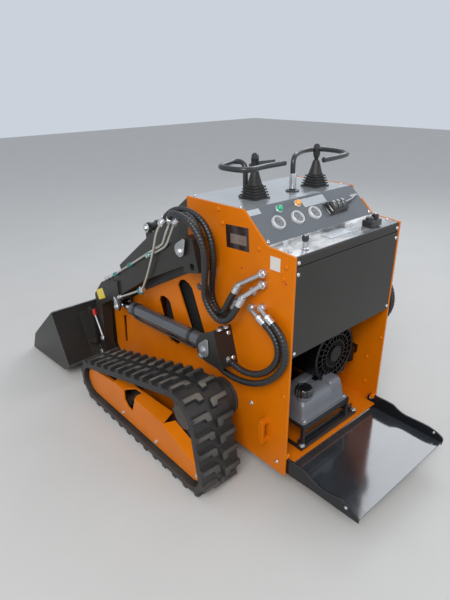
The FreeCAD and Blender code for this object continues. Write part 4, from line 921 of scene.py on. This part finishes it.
piece("line_couplings", "zinc", "arms",
      both([coupling((828, 379, 622), (884, 379, 592)), coupling((466, 379, 820), (492, 379, 806))])
      + [coupling((752, 380, 541), (776, 380, 529)),
         slab((24, 24, 3), (0, 21), 2, (548, ARM_FACE + 0.2, 642), LEFT)])
LINE_WAY = (0.86, 0, -0.5)
clamps = [slab((30, 17, 3), (0, 15), 1.5, (x, ARM_FACE + 0.1, z), LEFT, LINE_WAY)
          for x, z in ((783, 645), (640, 729), (474, 817))]
piece("line_clamps", "teal_trim", "arms",
      both(clamps) + [slab((34, 20, 3), (0, 15), 1.5, (572, ARM_FACE + 0.1, 624), LEFT)])
piece("arm_label", "label_yellow", "arms", [label(80, 52, 2, (980, ARM_FACE, 480), LEFT, (0.91, 0, -0.42))])

# Slim pipe under each lift barrel, from its rod end back to the port
BARREL_WAY = np.array((0.9974, 0, -0.0723))
BARREL_DOWN = np.array((-0.0723, 0, -0.9974))


def by_barrel(distance, below, y):
    """Point at a distance along the lift barrel from its base pin, and so far below its axis."""
    return np.array((138, y, 526)) + BARREL_WAY * distance + BARREL_DOWN * below


pipe_route = [by_barrel(*spot) for spot in (
    (540, 27, 352), (536, 38, 354), (520, 41, 355), (440, 41, 355),
    (260, 41, 355), (120, 41, 355), (104, 38, 354), (98, 27, 352))]
collar = turned([(30.2, 0), (33, 1), (33, 17), (30.2, 18)], 40, True)
barrel_parts = ([steel_pipe(pipe_route, 8)]
                + [set_down(collar, by_barrel(d, 0, 346), BARREL_WAY) for d in (100, 520)]
                + [slab((20, 18, 3), (0, 14), 1.5, by_barrel(d, 28, 352), BARREL_DOWN) for d in (98, 540)])
for side, tag in SIDES:
    piece("barrel_pipe_" + tag, "black_trim", "lift_barrel_%s_body" % tag, on_side(barrel_parts, side))

# Quick-attach lever: red grip, shiny rod and its bolt
grip_line = [(1047, 387, 340), (1052, 387, 352), (1057, 387, 364), (1060, 387, 370)]
piece("lever_grip", "red_grip", "attachment", [along(smooth_line(grip_line, 6), 10.5, 18)])
piece("lever_rod", "zinc", "attachment",
      [along([(990, 386, 232), (1010, 386, 270), (1030, 386, 307), (1049, 387, 344)], 5.5, 14)]
      + bolts_at(12, [((988, 388, 228), LEFT)]))

# Fuel tank: a flanged foot, sides that lean in, a round shoulder and a ridge; a ribbed cap on a neck

def moulded(rows, width, depth, middle):
    """Skin over rounded rectangles about the middle: rows of inset on each side, corner and height."""
    rings = []
    for inset, corner, z in rows:
        ring = rounded(width - 2 * inset, depth - 2 * inset, corner, 8) + middle
        rings.append(np.column_stack([ring, np.full(len(ring), z)]))
    return skin(np.stack(rings))


tank_rows = [(-8, 14, 262), (-9, 14, 263), (-9, 14, 269), (-8, 14, 270), (-1, 16, 270.5), (1, 18, 274),
             (5, 20, 300), (9, 22, 318), (14, 25, 331), (22, 30, 342), (33, 34, 349), (48, 34, 352)]
ridge_rows = [(0, 14, 296), (3, 14, 322), (6, 15, 343), (9, 16, 355), (14, 16, 362), (22, 14, 366),
              (30, 8, 367)]
saddle_rows = [(0, 12, 310), (4, 12, 345), (9, 13, 357), (16, 12, 362)]
tank = piece("tank_shell", "tank_plastic", "chassis",
             [moulded(tank_rows, 176, 262, (-124, 54)), moulded(ridge_rows, 96, 84, (-158, -28)),
              moulded(saddle_rows, 60, 120, (-92, 40)),
              set_down(turned([(30, 0), (29, 14), (27, 16)], 32), (-168, 138, 344))])
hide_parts("fuel_tank")
CAP_STEPS, CAP_RIBS, RIB_DEPTH = 96, 16, 1.6


def ribbed(rows):
    """Rows of radius, height and rib: r = radius + depth x rib, less where cos(16 a) is below 0."""
    a = circle(CAP_STEPS)
    wave = np.sign(np.cos(CAP_RIBS * a))
    rings = [(radius + RIB_DEPTH * rib * wave, height) for radius, height, rib in rows]
    return skin(np.stack([np.column_stack([r * np.cos(a), r * np.sin(a), np.full(CAP_STEPS, height)])
                          for r, height in rings]))


cap_rows = [(29, 0, 0), (33, 0.5, 1), (33, 25, 1), (32, 28, 0.6), (29, 31, 0), (22, 32, 0), (20, 30.5, 0),
            (4, 30, 0)]
cap = piece("ribbed_cap", "gloss_black", "chassis", [set_down(ribbed(cap_rows), (-168, 138, 358))])
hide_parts("tank_cap")
stand("tank_bolts", "zinc", "chassis",
      [(hex_bolt, 8, (x, y, 270.2), UP) for x in (-208, -40) for y in (178, -70)]
      + [(hex_bolt, 10, (-219.5, y, 172.2), UP) for y in (195, -140)])

# The two rear sheets with the dark joint between them, and a plug on each side plate
piece("panel_joints", "slot_shade_and_joint_dark", "chassis",
      [slab((8, 582, 1.1, 3), (0, 0.8), 0.1, (-223.6, 0, 928), BACK, UP)])
upper_sheet = piece("rear_sheet_upper", "rear_sheet", "chassis",
                    [slab((29, 583, 2), (0, 4), 1, (REAR_FACE + 4, 0, 944.2), BACK, UP)])
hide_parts("rear_strip")
lower_sheet = piece("rear_sheet_lower", "rear_sheet", "chassis",
                    [slab((323, 583, 2), (0, 4), 1, (REAR_FACE + 4, 0, 764.5), BACK, UP)])
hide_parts("rear_panel")
plug = turned([(14, 0), (14, 2), (12.5, 3.2), (7, 3.4), (6, 2), (2, 2)], 28)
piece("plate_plugs", "gloss_black", "chassis",
      [set_down(plug, (253, s * PLATE, 722), (0, s, 0)) for s in (1, -1)])

# Platform: a glossy sheet between two cut flanges, each with a bolt at its hinge and two near its rear corner

LEFT_FLANGE = [(-222, 96), (-209, 120), (-206, 145), (-210, 158), (-219, 165), (-240, 169), (-268, 168),
               (-290, 170), (-309, 166), (-322, 160), (-338, 152), (-366, 145), (-394, 141), (-427, 145),
               (-446, 152), (-458, 155), (-471, 155), (-494, 151), (-517, 144), (-535, 133), (-547, 121),
               (-547, 106), (-500, 105), (-339, 103), (-266, 98)]
RIGHT_FLANGE = [(-222, 96), (-207, 120), (-197, 145), (-195, 158), (-200, 172), (-212, 180), (-243, 181),
                (-287, 182), (-318, 180), (-328, 176), (-339, 169), (-358, 162), (-384, 159), (-409, 160),
                (-458, 162), (-485, 161), (-500, 158), (-517, 154), (-531, 149), (-545, 141), (-550, 132),
                (-549, 118), (-547, 106), (-500, 105), (-339, 103), (-266, 98)]


def cut_sheet(outline, y, thick=6):
    """Outline of (x, z) at y and again one thickness further left, joined by straight sides."""
    line = np.array(outline, float)
    return skin(np.stack([np.column_stack([line[:, 0], np.full(len(line), at), line[:, 1]])
                          for at in (y, y + thick)]))


cut_flanges = piece("platform_flanges", "flange_black", "fold_platform",
                    [cut_sheet(LEFT_FLANGE, 282), cut_sheet(RIGHT_FLANGE, -288)])
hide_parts("platform")
piece("platform_sheet", "tread_plate", "fold_platform", [slab((318, 565, 3), (114, 120), 1.2, (-388, 0, 0))])
stand("platform_bolts", "zinc", "fold_platform",
      [(dome_bolt, 8, (-212, -282, 160), LEFT), (dome_bolt, 8, (-216, 282, 152), RIGHT),
       (dome_bolt, 7, (-509, -282, 147), LEFT), (dome_bolt, 7, (-509, -288, 147), RIGHT),
       (dome_bolt, 7, (-495, 288, 137), LEFT), (dome_bolt, 7, (-495, 282, 137), RIGHT)])

# Black angle rails under the tank, and the deep rear bar of its frame
piece("tank_rails", "black_trim", "chassis",
      [slab((30, 350, 3), (0, 5), 1, (-214, 26, 157.5)), slab((5, 350, 1.5), (0, 34), 1, (-202, 26, 157.5)),
       slab((8, 268, 2), (0, 24), 1, (-216, 54, 232))])

# Folded strip along the foot of each side plate
lip_line = [(-229, 91.5), (-227, 90), (557, 90), (560, 93), (560, 109), (-229, 109)]
piece("plate_lips", "orange_trim", "chassis", both([upright(lip_line, 293, 300.6, 1.4)]))

# Bright worn steel along the bucket's top edge
piece("bucket_rim", "keeper_steel", "attachment",
      [along([(1176, -567, 368), (1176, -200, 368.4), (1176, 200, 368.4), (1176, 567, 368)], 4, 12, UP)])


# Floor and light

FLOOR_HALF, FLOOR_TOP = 14, -0.0014     # metres


def floor_finish():
    """Pale matt floor, its tone drifting in soft clouds."""
    mat = bpy.data.materials.new("pale_floor")
    mat.use_nodes = True
    tree = mat.node_tree
    coords = tree.nodes.new("ShaderNodeTexCoord").outputs["Object"]
    tree.links.new(mixed(tree, noise(tree, coords, 3.0), (0.52, 0.51, 0.49), (0.57, 0.56, 0.54)),
                   tree.nodes["Principled BSDF"].inputs["Base Color"])
    tree.nodes["Principled BSDF"].inputs["Roughness"].default_value = 0.9
    return mat


floor_mesh = bpy.data.meshes.new("floor")
corners = [(x * FLOOR_HALF, y * FLOOR_HALF, FLOOR_TOP) for x, y in ((-1, -1), (1, -1), (1, 1), (-1, 1))]
floor_mesh.from_pydata(corners, [], [(0, 1, 2, 3)])
floor_mesh.materials.append(floor_finish())
floor = bpy.data.objects.new("floor", floor_mesh)
scene.collection.objects.link(floor)

world = bpy.data.worlds.new("studio")
world.use_nodes = True
world.node_tree.nodes["Background"].inputs["Color"].default_value = (0.80, 0.86, 0.95, 1)
world.node_tree.nodes["Background"].inputs["Strength"].default_value = 0.75
scene.world = world


def soft_light(name, place, target, size, power, colour):
    """Rectangular lamp at a place, turned towards the target; power in watts."""
    data = bpy.data.lights.new(name, "AREA")
    data.shape = "RECTANGLE"
    data.size, data.size_y = size
    data.energy = power
    data.color = colour
    lamp = bpy.data.objects.new(name, data)
    lamp.location = place
    lamp.rotation_euler = (Vector(target) - Vector(place)).to_track_quat("-Z", "Y").to_euler()
    scene.collection.objects.link(lamp)


soft_light("key", (-3.5, 4.2, 5.0), (0, 0, 0.4), (3.0, 3.0), 300, (1.0, 0.97, 0.93))
soft_light("fill", (-5.0, -3.0, 3.0), (0, 0, 0.5), (4.0, 4.0), 45, (0.9, 0.95, 1.0))
soft_light("softbox", (0.9, -3.1, 3.35), (-0.97, -0.05, 0.1), (2.8, 1.7), 46, (0.93, 0.96, 1.0))
